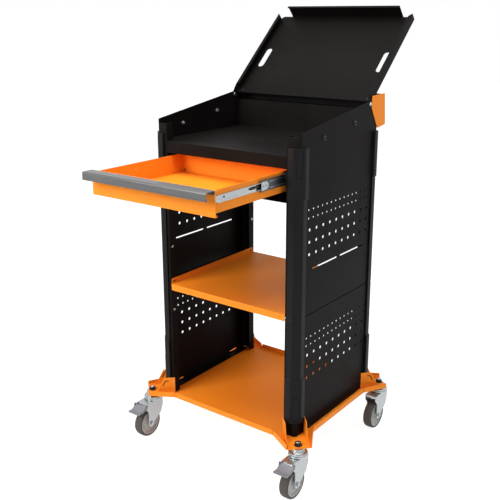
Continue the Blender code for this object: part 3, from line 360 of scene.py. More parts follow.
def mirrored(faces, side):
    """The faces as given for the right side (1), or their mirror image for the left (-1)."""
    if side > 0:
        return faces
    return [[(-point[0], point[1], point[2]) for point in reversed(face)] for face in faces]


def skin(bm, rings):
    """Joins each ring of points to the next with faces; a ring may be one point, repeated."""
    faces = []
    for lower, upper in zip(rings, rings[1:]):
        for i in range(len(lower)):
            j = (i + 1) % len(lower)
            corners = dict.fromkeys((lower[i], lower[j], upper[j], upper[i]))
            faces.append(bm.faces.new(list(corners)))
    return faces


def prism(bm, outline, depth):
    """Adds a closed prism over a flat outline."""
    low = [bm.verts.new(point) for point in outline]
    high = [bm.verts.new(Vector(point) + Vector(depth)) for point in outline]
    faces = [bm.faces.new(low[::-1]), bm.faces.new(high)] + skin(bm, [low, high])
    bmesh.ops.recalc_face_normals(bm, faces=faces)


def block(name, outline, depth):
    """An object that is one prism."""
    bm = bmesh.new()
    prism(bm, outline, depth)
    return new_object(name, bm)


def rectangle(low, high):
    """Corners of a flat rectangle, in order round it."""
    return [(low[0], low[1]), (high[0], low[1]), (high[0], high[1]), (low[0], high[1])]


def tapered(half, z, other_half, other_z):
    """Corners of a flat strip, 2 x half wide at height z and 2 x other_half wide at other_z."""
    return [(-half, z), (half, z), (other_half, other_z), (-other_half, other_z)]


def side_plate(name, x, outline, radius, depth):
    """A plate that faces along X, over a (y, z) outline with rounded corners."""
    return block(name, rounded([(x, y, z) for y, z in outline], radius), (depth, 0, 0))


def grow(obj, add):
    """Adds more shapes to an object's mesh, with a function that draws them."""
    bm = bmesh.new()
    bm.from_mesh(obj.data)
    add(bm)
    bm.to_mesh(obj.data)
    bm.free()
    obj.data.shade_smooth()


def turned(name, profile, segments, along="Z"):
    """A turned piece. The profile lists (radius, height) once round its section, up its outer side."""
    bm = bmesh.new()
    turns = [2 * math.pi * (i + 0.5) / segments - math.pi / 2 for i in range(segments)]
    rings = []
    for radius, height in profile:
        if radius == 0:
            rings.append([bm.verts.new((0, 0, height))] * segments)
        else:
            rings.append([bm.verts.new((radius * math.cos(t), radius * math.sin(t), height)) for t in turns])
    has_bore = profile[0][0] > 0
    skin(bm, rings + rings[:1] if has_bore else rings)
    if along == "X":
        lay_down = Matrix.Rotation(math.pi / 2, 3, "Y") @ Matrix.Rotation(math.pi / 2, 3, "Z")
        bmesh.ops.rotate(bm, matrix=lay_down, verts=bm.verts)
    bmesh.ops.recalc_face_normals(bm, faces=bm.faces)
    return new_object(name, bm)


def circle(radius, sides, centre=(0.0, 0.0), turn=0.0):
    """Points of a regular polygon, as pairs."""
    points = []
    for i in range(sides):
        angle = turn + 2 * math.pi * i / sides
        points.append((centre[0] + radius * math.cos(angle), centre[1] + radius * math.sin(angle)))
    return points


def cut(obj, bm, label):
    """Cuts the shapes in bm out of obj."""
    tool = new_object(f"{obj.name}_{label}", bm)
    boolean = obj.modifiers.new(label, "BOOLEAN")
    boolean.operation = "DIFFERENCE"
    boolean.solver = "EXACT"
    boolean.object = tool
    apply_modifiers(obj)
    bpy.data.objects.remove(tool)


def bore(obj, radius, centre, along, depth, sides=24, label="bore"):
    """Drills a round hole through obj."""
    bm = bmesh.new()
    x, y, z = centre
    if along == "X":
        prism(bm, [(x - depth / 2, a, b) for a, b in circle(radius, sides, (y, z))], (depth, 0, 0))
    elif along == "Y":
        prism(bm, [(a, y - depth / 2, b) for a, b in circle(radius, sides, (x, z))], (0, depth, 0))
    else:
        prism(bm, [(a, b, z - depth / 2) for a, b in circle(radius, sides, (x, y))], (0, 0, depth))
    cut(obj, bm, label)


# Node trees for what repeats

def node_group(name, inputs):
    """Starts a node tree with named inputs; gives it with its input and output nodes."""
    group = bpy.data.node_groups.new(name, "GeometryNodeTree")
    group.interface.new_socket("Geometry", in_out="INPUT", socket_type="NodeSocketGeometry")
    for label, kind in inputs:
        group.interface.new_socket(label, in_out="INPUT", socket_type=f"NodeSocket{kind}")
    group.interface.new_socket("Geometry", in_out="OUTPUT", socket_type="NodeSocketGeometry")
    return group, group.nodes.new("NodeGroupInput"), group.nodes.new("NodeGroupOutput")


def use_group(obj, group, values):
    """Puts a node tree on an object and sets its named inputs."""
    modifier = obj.modifiers.new(group.name, "NODES")
    modifier.node_group = group
    for item in group.interface.items_tree:
        if item.in_out == "INPUT" and item.name in values:
            modifier[item.identifier] = values[item.name]
    return modifier


def end_group(group, geometry, source, out):
    """Realizes the instances, sets the material and ends the tree."""
    link, new = group.links.new, group.nodes.new
    real = new("GeometryNodeRealizeInstances")
    paint = new("GeometryNodeSetMaterial")
    link(geometry, real.inputs[0])
    link(real.outputs[0], paint.inputs["Geometry"])
    link(source.outputs["Material"], paint.inputs["Material"])
    link(paint.outputs[0], out.inputs[0])


def math_node(group, operation, first, second):
    """Adds a math node on two sockets or numbers."""
    node = group.nodes.new("ShaderNodeMath")
    node.operation = operation
    for socket, value in zip(node.inputs, (first, second)):
        if isinstance(value, (int, float)):
            socket.default_value = value
        else:
            group.links.new(value, socket)
    return node.outputs[0]


def perforation_tree():
    """Cuts a grid of round or slotted holes through a sheet that faces along X."""
    inputs = [("Columns", "Int"), ("Rows", "Int"), ("Column Pitch", "Float"), ("Row Pitch", "Float"),
              ("Centre", "Vector"), ("Hole Diameter", "Float"), ("Slot Stretch", "Float"),
              ("Depth", "Float"), ("Sides", "Int"), ("Material", "Material")]
    group, source, out = node_group("peg_holes", inputs)
    link, new = group.links.new, group.nodes.new
    pick = source.outputs
    grid = new("GeometryNodeMeshGrid")
    for count, pitch, axis in (("Columns", "Column Pitch", "X"), ("Rows", "Row Pitch", "Y")):
        steps = math_node(group, "SUBTRACT", pick[count], 1)
        link(math_node(group, "MULTIPLY", steps, pick[pitch]), grid.inputs[f"Size {axis}"])
        link(pick[count], grid.inputs[f"Vertices {axis}"])
    stand = new("GeometryNodeTransform")
    stand.inputs["Rotation"].default_value = (math.pi / 2, 0, math.pi / 2)
    link(grid.outputs["Mesh"], stand.inputs["Geometry"])
    link(pick["Centre"], stand.inputs["Translation"])
    drill = new("GeometryNodeMeshCylinder")
    link(pick["Sides"], drill.inputs["Vertices"])
    link(math_node(group, "DIVIDE", pick["Hole Diameter"], 2), drill.inputs["Radius"])
    link(pick["Depth"], drill.inputs["Depth"])
    both = new("GeometryNodeJoinGeometry")
    for share in (-0.5, 0.5):
        move = new("ShaderNodeCombineXYZ")
        link(math_node(group, "MULTIPLY", pick["Slot Stretch"], share), move.inputs["Y"])
        lay = new("GeometryNodeTransform")
        lay.inputs["Rotation"].default_value = (0, math.pi / 2, 0)
        link(drill.outputs["Mesh"], lay.inputs["Geometry"])
        link(move.outputs["Vector"], lay.inputs["Translation"])
        link(lay.outputs[0], both.inputs[0])
    hull = new("GeometryNodeConvexHull")
    link(both.outputs[0], hull.inputs[0])
    spread = new("GeometryNodeInstanceOnPoints")
    link(stand.outputs[0], spread.inputs["Points"])
    link(hull.outputs[0], spread.inputs["Instance"])
    drills = new("GeometryNodeRealizeInstances")
    link(spread.outputs[0], drills.inputs[0])
    punch = new("GeometryNodeMeshBoolean")
    punch.operation = "DIFFERENCE"
    punch.solver = "EXACT"
    link(pick["Geometry"], punch.inputs[0])
    link(drills.outputs[0], punch.inputs[1])
    end_group(group, punch.outputs[0], source, out)
    return group


def fastener_tree():
    """Sets a copy of one fastener on every point, its head towards the point's facing."""
    inputs = [("Fastener", "Object"), ("Size", "Float"), ("Material", "Material")]
    group, source, out = node_group("fasteners", inputs)
    link, new = group.links.new, group.nodes.new
    shape = new("GeometryNodeObjectInfo")
    link(source.outputs["Fastener"], shape.inputs["Object"])
    facing = new("GeometryNodeInputNamedAttribute")
    facing.data_type = "FLOAT_VECTOR"
    facing.inputs["Name"].default_value = "facing"
    turn = new("FunctionNodeAlignRotationToVector")
    turn.axis = "Z"
    link(facing.outputs["Attribute"], turn.inputs["Vector"])
    spread = new("GeometryNodeInstanceOnPoints")
    link(source.outputs["Geometry"], spread.inputs["Points"])
    link(shape.outputs["Geometry"], spread.inputs["Instance"])
    link(turn.outputs["Rotation"], spread.inputs["Rotation"])
    link(source.outputs["Size"], spread.inputs["Scale"])
    end_group(group, spread.outputs[0], source, out)
    return group


def rib_tree():
    """A row of ribs: copies of one rib, a fixed step apart."""
    inputs = [("Rib", "Object"), ("Count", "Int"), ("Step", "Vector"), ("Material", "Material")]
    group, source, out = node_group("rib_row", inputs)
    link, new = group.links.new, group.nodes.new
    shape = new("GeometryNodeObjectInfo")
    link(source.outputs["Rib"], shape.inputs["Object"])
    line = new("GeometryNodeMeshLine")
    line.mode = "OFFSET"
    link(source.outputs["Count"], line.inputs["Count"])
    link(source.outputs["Step"], line.inputs["Offset"])
    spread = new("GeometryNodeInstanceOnPoints")
    link(line.outputs[0], spread.inputs["Points"])
    link(shape.outputs["Geometry"], spread.inputs["Instance"])
    end_group(group, spread.outputs[0], source, out)
    return group


PEG_HOLES = perforation_tree()
FASTENERS = fastener_tree()
RIB_ROW = rib_tree()


def perforate(obj, centre, columns, rows, pitch, diameter, stretch=0.0, sides=20):
    """Punches rows of holes in a side panel; a hole with a stretch is a slot."""
    use_group(obj, PEG_HOLES, {"Columns": columns, "Rows": rows, "Column Pitch": pitch[0],
                               "Row Pitch": pitch[1], "Centre": centre, "Hole Diameter": diameter,
                               "Slot Stretch": stretch, "Depth": DRILL_DEPTH, "Sides": sides,
                               "Material": LOOKS["black_powder_coat"]})
    apply_modifiers(obj)


def scatter(name, fastener, places, look, body, size=1.0):
    """Sets fasteners at (point, facing) places, as one piece that rides on a body."""
    mesh = bpy.data.meshes.new(name)
    mesh.from_pydata([point for point, _ in places], [], [])
    facing = mesh.attributes.new("facing", "FLOAT_VECTOR", "POINT")
    for i, (_, way) in enumerate(places):
        facing.data[i].vector = way
    obj = bpy.data.objects.new(name, mesh)
    bpy.context.scene.collection.objects.link(obj)
    use_group(obj, FASTENERS, {"Fastener": fastener, "Size": size, "Material": LOOKS[look]})
    return settle(obj, look, body)


def rib_row(name, rib, count, step, look, body, place=Matrix()):
    """Sets a row of ribs, as one piece that rides on a body, and deletes the rib that was copied."""
    obj = new_object(name, bmesh.new())
    use_group(obj, RIB_ROW, {"Rib": rib, "Count": count, "Step": step, "Material": LOOKS[look]})
    settle(obj, look, body, place=place)
    bpy.data.objects.remove(rib)


def button_head(radius=0.0055, height=0.0032, rim=0.0008, foot=0.0006):
    """A domed screw head with a hexagon socket, standing on the origin."""
    shank, steps, dome_end = radius * 0.6, 4, math.radians(72)
    profile = [(0, -foot), (shank, -foot), (shank, 0), (radius, 0.0), (radius, rim)]
    for i in range(1, steps + 1):
        angle = dome_end * i / steps
        profile.append((radius * math.cos(angle), rim + (height - rim) * math.sin(angle)))
    head = turned("button_head", profile + [(0, height)], 24)
    bm = bmesh.new()
    prism(bm, [(a, b, height * 0.45) for a, b in circle(radius * 0.42, 6)], (0, 0, height))
    cut(head, bm, "socket")
    return head


def hex_nut(corner_radius=0.005775, bolt_radius=0.00275, height=0.0042, washer=0.0072):
    """A hexagon nut on a washer with the bolt's end through it, standing on the origin."""
    foot, seat, bolt_end = -0.0004, 0.0009, 0.0030
    nut = turned("hex_nut", [(0, foot), (washer, foot), (washer, seat), (0, seat)], 24)

    def nut_and_bolt(bm):
        prism(bm, [(a, b, seat) for a, b in circle(corner_radius, 6)], (0, 0, height))
        prism(bm, [(a, b, height) for a, b in circle(bolt_radius, 16)], (0, 0, bolt_end))

    grow(nut, nut_and_bolt)
    soften(nut, 0.0003, 2, 40)
    apply_modifiers(nut)
    return nut


def pan_rivet(radius=0.0032, height=0.0014):
    """A low rivet head standing on the origin."""
    profile = [(0, -0.0004), (radius, -0.0004), (radius, height * 0.35), (radius * 0.8, height * 0.8),
               (radius * 0.45, height), (0, height)]
    return turned("pan_rivet", profile, 18)


# Cabinet

def panel_faces(low, front_top, web_front_top, rear_top, rear_flange, return_top):
    """Outer faces of a right-hand panel: return, post flange and bend, web, bend, post flange and return."""
    front, rear = -HALF_DEPTH, HALF_DEPTH

    def face(start, end, start_top, end_top):
        return [(*start, low), (*end, low), (*end, end_top), (*start, start_top)]

    return [
        face((POST_EDGE, -RETURN_Y), (POST_EDGE, front), front_top, front_top),
        face((POST_EDGE, front), (BEND_X, front), front_top, front_top),
        face((BEND_X, front), (HALF_WIDTH, -BEND_Y), front_top, web_front_top),
        face((HALF_WIDTH, -BEND_Y), (HALF_WIDTH, BEND_Y), web_front_top, rear_top),
        face((HALF_WIDTH, BEND_Y), (BEND_X, rear), rear_top, rear_top),
        rear_flange,
        face((POST_EDGE, rear), (POST_EDGE, RETURN_Y), return_top, return_top),
    ]


def peg_rows(obj, side, top_row, gap):
    """Two rows of small holes over three rows of large ones; gives the last row's height."""
    x = side * HALF_WIDTH
    perforate(obj, (x, 0, top_row - SMALL_PITCH / 2), 15, 2, (SMALL_PITCH, SMALL_PITCH), SMALL_HOLE)
    first = top_row - SMALL_PITCH - gap
    perforate(obj, (x, 0, first - LARGE_PITCH), 10, 3, (LARGE_PITCH, LARGE_PITCH), LARGE_HOLE)
    return first - 2 * LARGE_PITCH


def lower_panel(label):
    """A side's lower panel: peg holes, two slots at its foot and a flange that stands on the pan."""
    side = SIDES[label]
    low, top = FLOOR + GAP, SEAM - SEAM_LINE / 2
    rear = [(BEND_X, HALF_DEPTH, low), (POST_EDGE, HALF_DEPTH, low),
            (POST_EDGE, HALF_DEPTH, top), (BEND_X, HALF_DEPTH, top)]
    faces = panel_faces(low, top, top, top, rear, top)
    ends = (HALF_WIDTH, -BEND_Y, low), (HALF_WIDTH, BEND_Y, low)
    foot_flange = (-0.028, 0, 0)
    faces.append(flange(*ends, foot_flange, CORNER_BEND, CORNER_BEND))
    obj = folded(f"lower_side_{label}", mirrored(faces, side), SHEET, PANEL_BEND, CORNER_RADIUS)
    apply_modifiers(obj)
    peg_rows(obj, side, SEAM - 0.0750, 0.0320)
    slot_pitch, slot_width, slot_stretch = 0.310, 0.005, 0.035
    perforate(obj, (side * HALF_WIDTH, 0, FLOOR + 0.009), 2, 1, (slot_pitch, 0), slot_width, slot_stretch)
    settle(obj, "black_powder_coat", "cabinet", [f"side_panel_lower_{label}"])


def seam_strip(label):
    """The strip behind the joint of the two panels of a side."""
    side = SIDES[label]
    inside = side * (HALF_WIDTH - SHEET - 0.004)
    end = BEND_Y - 0.012
    outline = rectangle((-end, SEAM - 0.011), (end, SEAM + 0.0085))
    obj = side_plate(f"seam_strip_{label}", inside, outline, 0.003, -side * 0.0012)
    settle(soften(obj, 0.0003, 2, 40), "black_powder_coat", "cabinet")


def upper_panel(label):
    """A side's upper panel: sloping top, peg holes, two long slots and a rear tab that stops the lid."""
    side = SIDES[label]
    low = SEAM + SEAM_LINE / 2
    rear_top = top_edge(BEND_Y)
    lean = LID_SWING - TOP_SLOPE
    stop_drop = (HALF_DEPTH - SHEET - PIVOT_Y) * math.tan(lean)
    stop_top = PIVOT_Z - stop_drop + LID_RISE / math.cos(lean) - 2 * GAP
    return_top = BACK_WALL_TOP - SHEET - SIDE_PLAY
    tab_x = POST_EDGE + 0.020
    rear = [(BEND_X, HALF_DEPTH, low), (POST_EDGE, HALF_DEPTH, low), (POST_EDGE, HALF_DEPTH, return_top),
            (POST_EDGE, HALF_DEPTH, stop_top), (tab_x, HALF_DEPTH, stop_top), (tab_x, HALF_DEPTH, rear_top),
            (BEND_X, HALF_DEPTH, rear_top)]
    faces = panel_faces(low, FRONT_TOP - 0.009, top_edge(-BEND_Y), rear_top, rear, return_top)
    obj = folded(f"upper_side_{label}", mirrored(faces, side), SHEET, PANEL_BEND, CORNER_RADIUS)
    apply_modifiers(obj)
    last = peg_rows(obj, side, SEAM + 0.3300, 0.0360)
    slot_pitch, slot_width, slot_stretch = 0.163, 0.005, 0.139
    perforate(obj, (side * HALF_WIDTH, 0, last - 0.048), 2, 1, (slot_pitch, 0), slot_width, slot_stretch)
    bore(obj, PIVOT_HOLE, (side * HALF_WIDTH, PIVOT_Y, PIVOT_Z), "X", DRILL_DEPTH)
    settle(obj, "black_powder_coat", "cabinet", [f"side_panel_upper_{label}"])


def guard_ring(across, deep, proud, facet, z):
    """A guard's section at height z: proud of the post's two faces, with a facet over its corner."""
    inside = CORNER_BEND - GAP * (DIAGONAL - 1)
    section = [(-GUARD_WRAP, proud), (-facet, proud), (proud, -facet), (proud, -GUARD_WRAP),
               (GAP, -GUARD_WRAP), (GAP, -inside), (-inside, GAP), (-GUARD_WRAP, GAP)]
    soft = rounded([(*point, 0) for point in section], 0.0045, 4, (1, 2))
    return [(across * (HALF_WIDTH + u), deep * (HALF_DEPTH + v), z) for u, v, _ in soft]


def corner_guard(key):
    """A moulded strip over a post's corner: thick bumpers at both ends and a groove at the panel seam."""
    across, deep = CORNERS[key]
    bumper, ramp = 0.148, 0.004
    low_step, high_step = GUARD_FOOT + bumper, GUARD_TOP - bumper
    thick, thin, groove = (GUARD_THICK, GUARD_FACET), (0.0055, 0.0145), (0.0045, 0.0145)
    levels = [(GUARD_FOOT, thick), (low_step, thick), (low_step + ramp, thin), (SEAM - 0.003, thin),
              (SEAM - 0.0015, groove), (SEAM + 0.0015, groove), (SEAM + 0.003, thin),
              (high_step - ramp, thin), (high_step, thick), (GUARD_TOP, thick)]
    bm = bmesh.new()
    rings = []
    for z, (proud, facet) in levels:
        rings.append([bm.verts.new(point) for point in guard_ring(across, deep, proud, facet, z)])
    skin(bm, rings)
    bm.faces.new(rings[0][::-1])
    bm.faces.new(rings[-1])
    bmesh.ops.recalc_face_normals(bm, faces=bm.faces)
    obj = soften(new_object(f"corner_guard_{key}_moulding", bm), 0.0009, 2, 30)
    apply_modifiers(obj)
    guard_pad(obj, "top", key, GUARD_TOP, -1)
    guard_pad(obj, "foot", key, GUARD_FOOT, 1)
    settle(obj, "guard_plastic", "cabinet", [f"corner_guard_{key}"])


def guard_pad(guard, label, key, end, way):
    """A tapered, ribbed pad on a bumper's facet with a gutter round it; way is up (1) or down (-1)."""
    across, deep = CORNERS[key]
    outward = Vector((across, deep, 0)) / DIAGONAL
    facet = (GUARD_THICK - GUARD_FACET) / 2

    def on_facet(outline, out):
        points = []
        for along, z in outline:
            u = facet + (out + along) / DIAGONAL
            v = facet + (out - along) / DIAGONAL
            points.append(Vector((across * (HALF_WIDTH + u), deep * (HALF_DEPTH + v), z)))
        return points

    wide_z, narrow_z, gutter = end + way * 0.009, end + way * 0.085, way * 0.0016
    tool = bmesh.new()
    round_it = tapered(0.0130, wide_z - gutter, 0.0075, narrow_z + gutter)
    prism(tool, rounded(on_facet(round_it, -0.0017), 0.003), outward * 0.004)
    cut(guard, tool, "gutter")
    outline = tapered(0.0112, wide_z, 0.0058, narrow_z)
    pad = block(f"guard_pad_{label}_{key}", rounded(on_facet(outline, -0.0020), 0.003), outward * 0.0023)
    settle(soften(pad, 0.0004, 2, 40), "guard_plastic", "cabinet")
    rib_half, rib_width, rib_z = 0.0044, 0.0016, min(wide_z, narrow_z)
    section = tapered(rib_half, rib_z, rib_half, rib_z + rib_width)
    rib = soften(block("guard_rib", on_facet(section, 0.0001), outward * 0.0009), 0.0003, 2, 40)
    apply_modifiers(rib)
    rib_row(f"guard_ribs_{label}_{key}", rib, 11, (0, 0, 0.0062), "guard_plastic", "cabinet",
            Matrix.Translation((0, 0, 0.006)))


def base_pan():
    """The bottom tray: lips up all round, notched where they turn out to the caster ears."""
    reach, half = EAR_REACH / DIAGONAL, EAR_HALF / DIAGONAL
    local = [(-0.068, 0.024), (reach - half, reach + half), (reach + half, reach - half), (0.024, -0.068)]
    outline = []
    for key in ("front_right", "rear_right", "rear_left", "front_left"):
        across, deep = CORNERS[key]
        points = [(across * (HALF_WIDTH + u), deep * (HALF_DEPTH + v), BASE) for u, v in local]
        outline.extend(points if across * deep < 0 else points[::-1])
    outline.reverse()
    faces = [outline]
    lip, notch, lip_corner = (0, 0, 0.018), 0.003, 0.004
    for i, start in enumerate(outline):
        place = i % 4
        if place == 1:
            continue
        trim_start = 0 if place == 2 else notch
        trim_end = 0 if place == 0 else notch
        end = outline[(i + 1) % len(outline)]
        faces.append(flange(start, end, lip, trim_start, trim_end, lip_corner))
    obj = folded("bottom_pan", faces, PAN_SHEET, 0.0034)
    apply_modifiers(obj)
    for across, deep in CORNERS.values():
        place = across * (HALF_WIDTH + CASTER_OUT), deep * (HALF_DEPTH + CASTER_OUT), BASE
        bore(obj, STEM_HOLE, place, "Z", 0.008)
    settle(obj, "orange_powder_coat", "cabinet", ["base_pan"])


def corner_bracket(key):
    """A U-shaped bracket over an ear of the pan, its two slotted wings flanking the cabinet's corner."""
    across, deep = CORNERS[key]
    low = FLOOR + GAP
    side = (GUARD_WRAP + GUARD_THICK) / DIAGONAL + 0.001 + BRACKET_SHEET
    tip, back, wing_top = EAR_REACH - 0.0015, -side - 0.004, 0.058

    def corner(along, beside, height):
        u = (along - beside) / DIAGONAL
        v = (along + beside) / DIAGONAL
        return (across * (HALF_WIDTH + u), deep * (HALF_DEPTH + v), low + height)

    def inward(beside, distance):
        return beside - math.copysign(distance, beside)

    faces = [[corner(back, -side, 0), corner(back, side, 0), corner(tip, side, 0), corner(tip, -side, 0)]]
    for beside in (-side, side):
        wing = [corner(tip, beside, 0), corner(back, beside, 0), corner(back, beside, wing_top),
                corner(0.004, beside, wing_top), corner(0.026, beside, 0.013), corner(tip, beside, 0.006)]
        wing = rounded(wing, 0.006, 5, (3, 4))
        faces.append(wing if beside > 0 else wing[::-1])
    if across * deep < 0:
        faces = [face[::-1] for face in faces]
    obj = folded(f"caster_bracket_{key}", faces, BRACKET_SHEET, 0.0032)
    apply_modifiers(obj)
    post_reach = 0.085
    xs = sorted((across * (HALF_WIDTH + GAP), across * (HALF_WIDTH - post_reach)))
    ys = sorted((deep * (HALF_DEPTH + GAP), deep * (HALF_DEPTH - post_reach)))
    tool = bmesh.new()
    post = rectangle((xs[0], ys[0]), (xs[1], ys[1]))
    prism(tool, [(x, y, low - BRACKET_SHEET) for x, y in post], (0, 0, 0.070))
    cut(obj, tool, "post")
    stem = across * (HALF_WIDTH + CASTER_OUT), deep * (HALF_DEPTH + CASTER_OUT), low
    bore(obj, STEM_HOLE, stem, "Z", 0.010)
    slit = [(-0.012, 0.0440), (-0.012, 0.0478), (0.0012, 0.0478), (0.0104, 0.0290), (0.0070, 0.0275),
            (-0.0010, 0.0440)]
    for hand, beside in (("left", -side), ("right", side)):
        through = Vector(corner(0, beside, 0)) - Vector(corner(0, inward(beside, 0.012), 0))
        tool = bmesh.new()
        prism(tool, [corner(along, inward(beside, 0.006), height) for along, height in slit], through)
        cut(obj, tool, "slit")
        # Painted shade: a dark plate sunk in each slit stands in for the shade inside the narrow slit.
        sunk = [corner(along, inward(beside, 0.0018), height) for along, height in slit]
        slit_shade = block(f"bracket_insert_{hand}_{key}", sunk, through * 0.1)
        settle(soften(slit_shade, 0.0002, 1, 40), "guard_plastic", "cabinet")
    settle(obj, "orange_powder_coat", "cabinet", [f"corner_bracket_{key}"])


def middle_shelf():
    """A shelf between the posts: aprons down at the front and rear, side flanges up along the posts."""
    half = POST_EDGE - GAP - SHEET
    front, rear, height = -HALF_DEPTH, HALF_DEPTH - 0.006, SEAM + 0.010
    floor = [(-half, front, height), (half, front, height), (half, rear, height), (-half, rear, height)]
    up, corner = (0, 0, 0.018), 0.004
    faces = [floor,
             flange(floor[0], floor[1], (0, 0, -0.022)),
             flange(floor[1], floor[2], up, corner, corner, corner),
             flange(floor[2], floor[3], (0, 0, -0.012)),
             flange(floor[3], floor[0], up, corner, corner, corner)]
    obj = folded("shelf", faces, SHEET, TRAY_BEND)
    apply_modifiers(obj)
    for side in SIDES.values():
        for y in (-0.217, 0.211):
            bore(obj, 0.0044, (side * half, y, height + 0.0070), "X", 0.010, label="flange_hole")
    settle(obj, "orange_powder_coat", "cabinet", ["middle_shelf"])


def worktop():
    """The deck, folded down into a plain fascia at the front and flanges against the side panels."""
    wide_front, rear = -RETURN_Y + SIDE_PLAY, BACK_WALL_Y - GAP
    outline = [(-OPENING_HALF, -HALF_DEPTH), (OPENING_HALF, -HALF_DEPTH), (OPENING_HALF, wide_front),
               (INNER_HALF, wide_front), (INNER_HALF, rear), (-INNER_HALF, rear),
               (-INNER_HALF, wide_front), (-OPENING_HALF, wide_front)]
    deck = [(x, y, DECK) for x, y in outline]
    fascia, side_flange = (0, 0, -0.037), (0, 0, -0.018)
    faces = [deck, flange(deck[0], deck[1], fascia), flange(deck[3], deck[4], side_flange),
             flange(deck[5], deck[6], side_flange)]
    obj = folded("deck_and_fascia", faces, SHEET, TRAY_BEND)
    settle(obj, "black_powder_coat", "cabinet", ["worktop"])


def tray_floor(half, front, rear, height):
    """A floor whose outer side faces down: front left, rear left, rear right, front right."""
    return [(-half, front, height), (-half, rear, height), (half, rear, height), (half, front, height)]


def drawer_bay():
    """The liner that the drawer runs in: a floor, two walls and flanges under the deck."""
    floor = tray_floor(BAY_HALF, -HALF_DEPTH + SHEET + 0.0105, BACK_WALL_Y - GAP, BAY_FLOOR)
    up, top_flange = (0, 0, DECK - SHEET - GAP - BAY_FLOOR), 0.011
    left, right = flange(floor[0], floor[1], up), flange(floor[2], floor[3], up)
    faces = [floor, left, right, flange(left[2], left[3], (top_flange, 0, 0)),
             flange(right[2], right[3], (-top_flange, 0, 0))]
    settle(folded("bay_liner", faces, SHEET, TRAY_BEND), "black_powder_coat", "cabinet", ["drawer_bay"])


def back_panel():
    """The wall behind the compartment and the bay, folded back at its sides and its top."""
    x, y, low, top = INNER_HALF, BACK_WALL_Y, BAY_FLOOR, BACK_WALL_TOP
    side_top, top_half = top - 0.005, BEND_X - 0.005
    wall = [(-x, y, low), (x, y, low), (x, y, side_top), (x, y, top), (top_half, y, top),
            (-top_half, y, top), (-x, y, top), (-x, y, side_top)]
    side_flange, top_flange = (0, 0.019, 0), (0, HALF_DEPTH - SHEET - SIDE_PLAY - y, 0)
    faces = [wall, flange(wall[1], wall[2], side_flange), flange(wall[4], wall[5], top_flange),
             flange(wall[7], wall[0], side_flange)]
    settle(folded("rear_wall", faces, SHEET, TRAY_BEND), "black_powder_coat", "cabinet", ["back_panel"])


def lid():
    """The lid: side flanges with returns, hand slots, and a deep front lip that clears the front posts."""
    place = Matrix.Translation((0, PIVOT_Y, PIVOT_Z)) @ Matrix.Rotation(LID_TILT, 4, "X")
    half, lip = LID_HALF, OPENING_HALF - 0.0035
    clip, hinge_end = 0.010, -0.016
    side_front, clipped = clip - LID_LENGTH, half - clip
    outline = [(-half, side_front), (-clipped, -LID_LENGTH), (-lip, -LID_LENGTH), (-lip, -LID_REACH),
               (lip, -LID_REACH), (lip, -LID_LENGTH), (clipped, -LID_LENGTH), (half, side_front),
               (half, hinge_end), (-half, hinge_end)]
    panel = [(x, y, LID_RISE) for x, y in outline]
    edge = LID_RISE - 0.026
    side = [(half, hinge_end, LID_RISE), (half, side_front, LID_RISE), (half, side_front, edge),
            (half, -0.030, edge), (half, 0.010, edge + 0.010), (half, 0.010, LID_RISE)]
    side = rounded(side, 0.008, 5, (4, 5))
    side_return = 0.012
    inward = flange(side[2], side[3], (-side_return, 0, 0), side_return, side_return)
    front = flange(panel[3], panel[4], (0, 0, -0.049))
    hem = flange(front[2], front[3], (0, 0.009, 0), 0.0012, 0.0012, 0.002)
    faces = [panel, front, hem]
    for hand in SIDES.values():
        faces.extend(mirrored([side, inward], hand))
    obj = folded("lid_panel", faces, SHEET, TRAY_BEND)
    apply_modifiers(obj)
    for hand in SIDES.values():
        bore(obj, PIVOT_HOLE, (hand * half, 0, 0), "X", DRILL_DEPTH)
        tool = bmesh.new()
        prism(tool, hand_slot(hand * (half - 0.0335), -0.188), (0, 0, 0.010))
        cut(obj, tool, "hand_slot")
    settle(obj, "black_powder_coat", "lid", ["lid"], place)


def hand_slot(x, y, radius=0.0115, half=0.0335, steps=12):
    """Outline of a slot with round ends in the lid's panel, about (x, y)."""
    outline = []
    for end, first in ((-1, math.pi / 2), (1, -math.pi / 2)):
        for i in range(steps + 1):
            angle = first + math.pi * i / steps
            outline.append((x + radius * math.sin(angle), y + end * half + radius * math.cos(angle),
                            LID_RISE - 0.005))
    return outline


def lid_pivot(label):
    """A shoulder bolt through the side panel and the lid's flange, with its nut inside."""
    nut, head, shank, wide = LID_HALF - SHEET - GAP, HALF_WIDTH + GAP, 0.004, 0.006
    profile = [(0, nut - 0.004), (0.0052, nut - 0.004), (wide, nut - 0.0032), (wide, nut), (shank, nut),
               (shank, head), (wide, head), (wide, head + 0.0012), (0.0052, head + 0.0022),
               (0.0034, head + 0.0029), (0, head + 0.003)]
    if SIDES[label] < 0:
        profile = [(radius, -x) for radius, x in reversed(profile)]
    obj = turned(f"hinge_bolt_{label}", profile, 28, "X")
    settle(obj, "zinc_plate", "cabinet", [f"lid_pivot_{label}"], Matrix.Translation((0, PIVOT_Y, PIVOT_Z)))


def rear_trough():
    """An open trough along the rear, one sheet bent four times."""
    front, low, top = HALF_DEPTH + GAP, TROUGH_BASE, TROUGH_BASE + TROUGH_HEIGHT
    path = [(front, low + 0.1008), (front, low), (front + 0.0402, low + 0.0071), (front + 0.0299, top),
            (front + 0.0229, top)]
    obj = folded("tool_trough", strip(path, HALF_WIDTH), SHEET, PANEL_BEND)
    settle(obj, "black_powder_coat", "cabinet", ["rear_trough"])


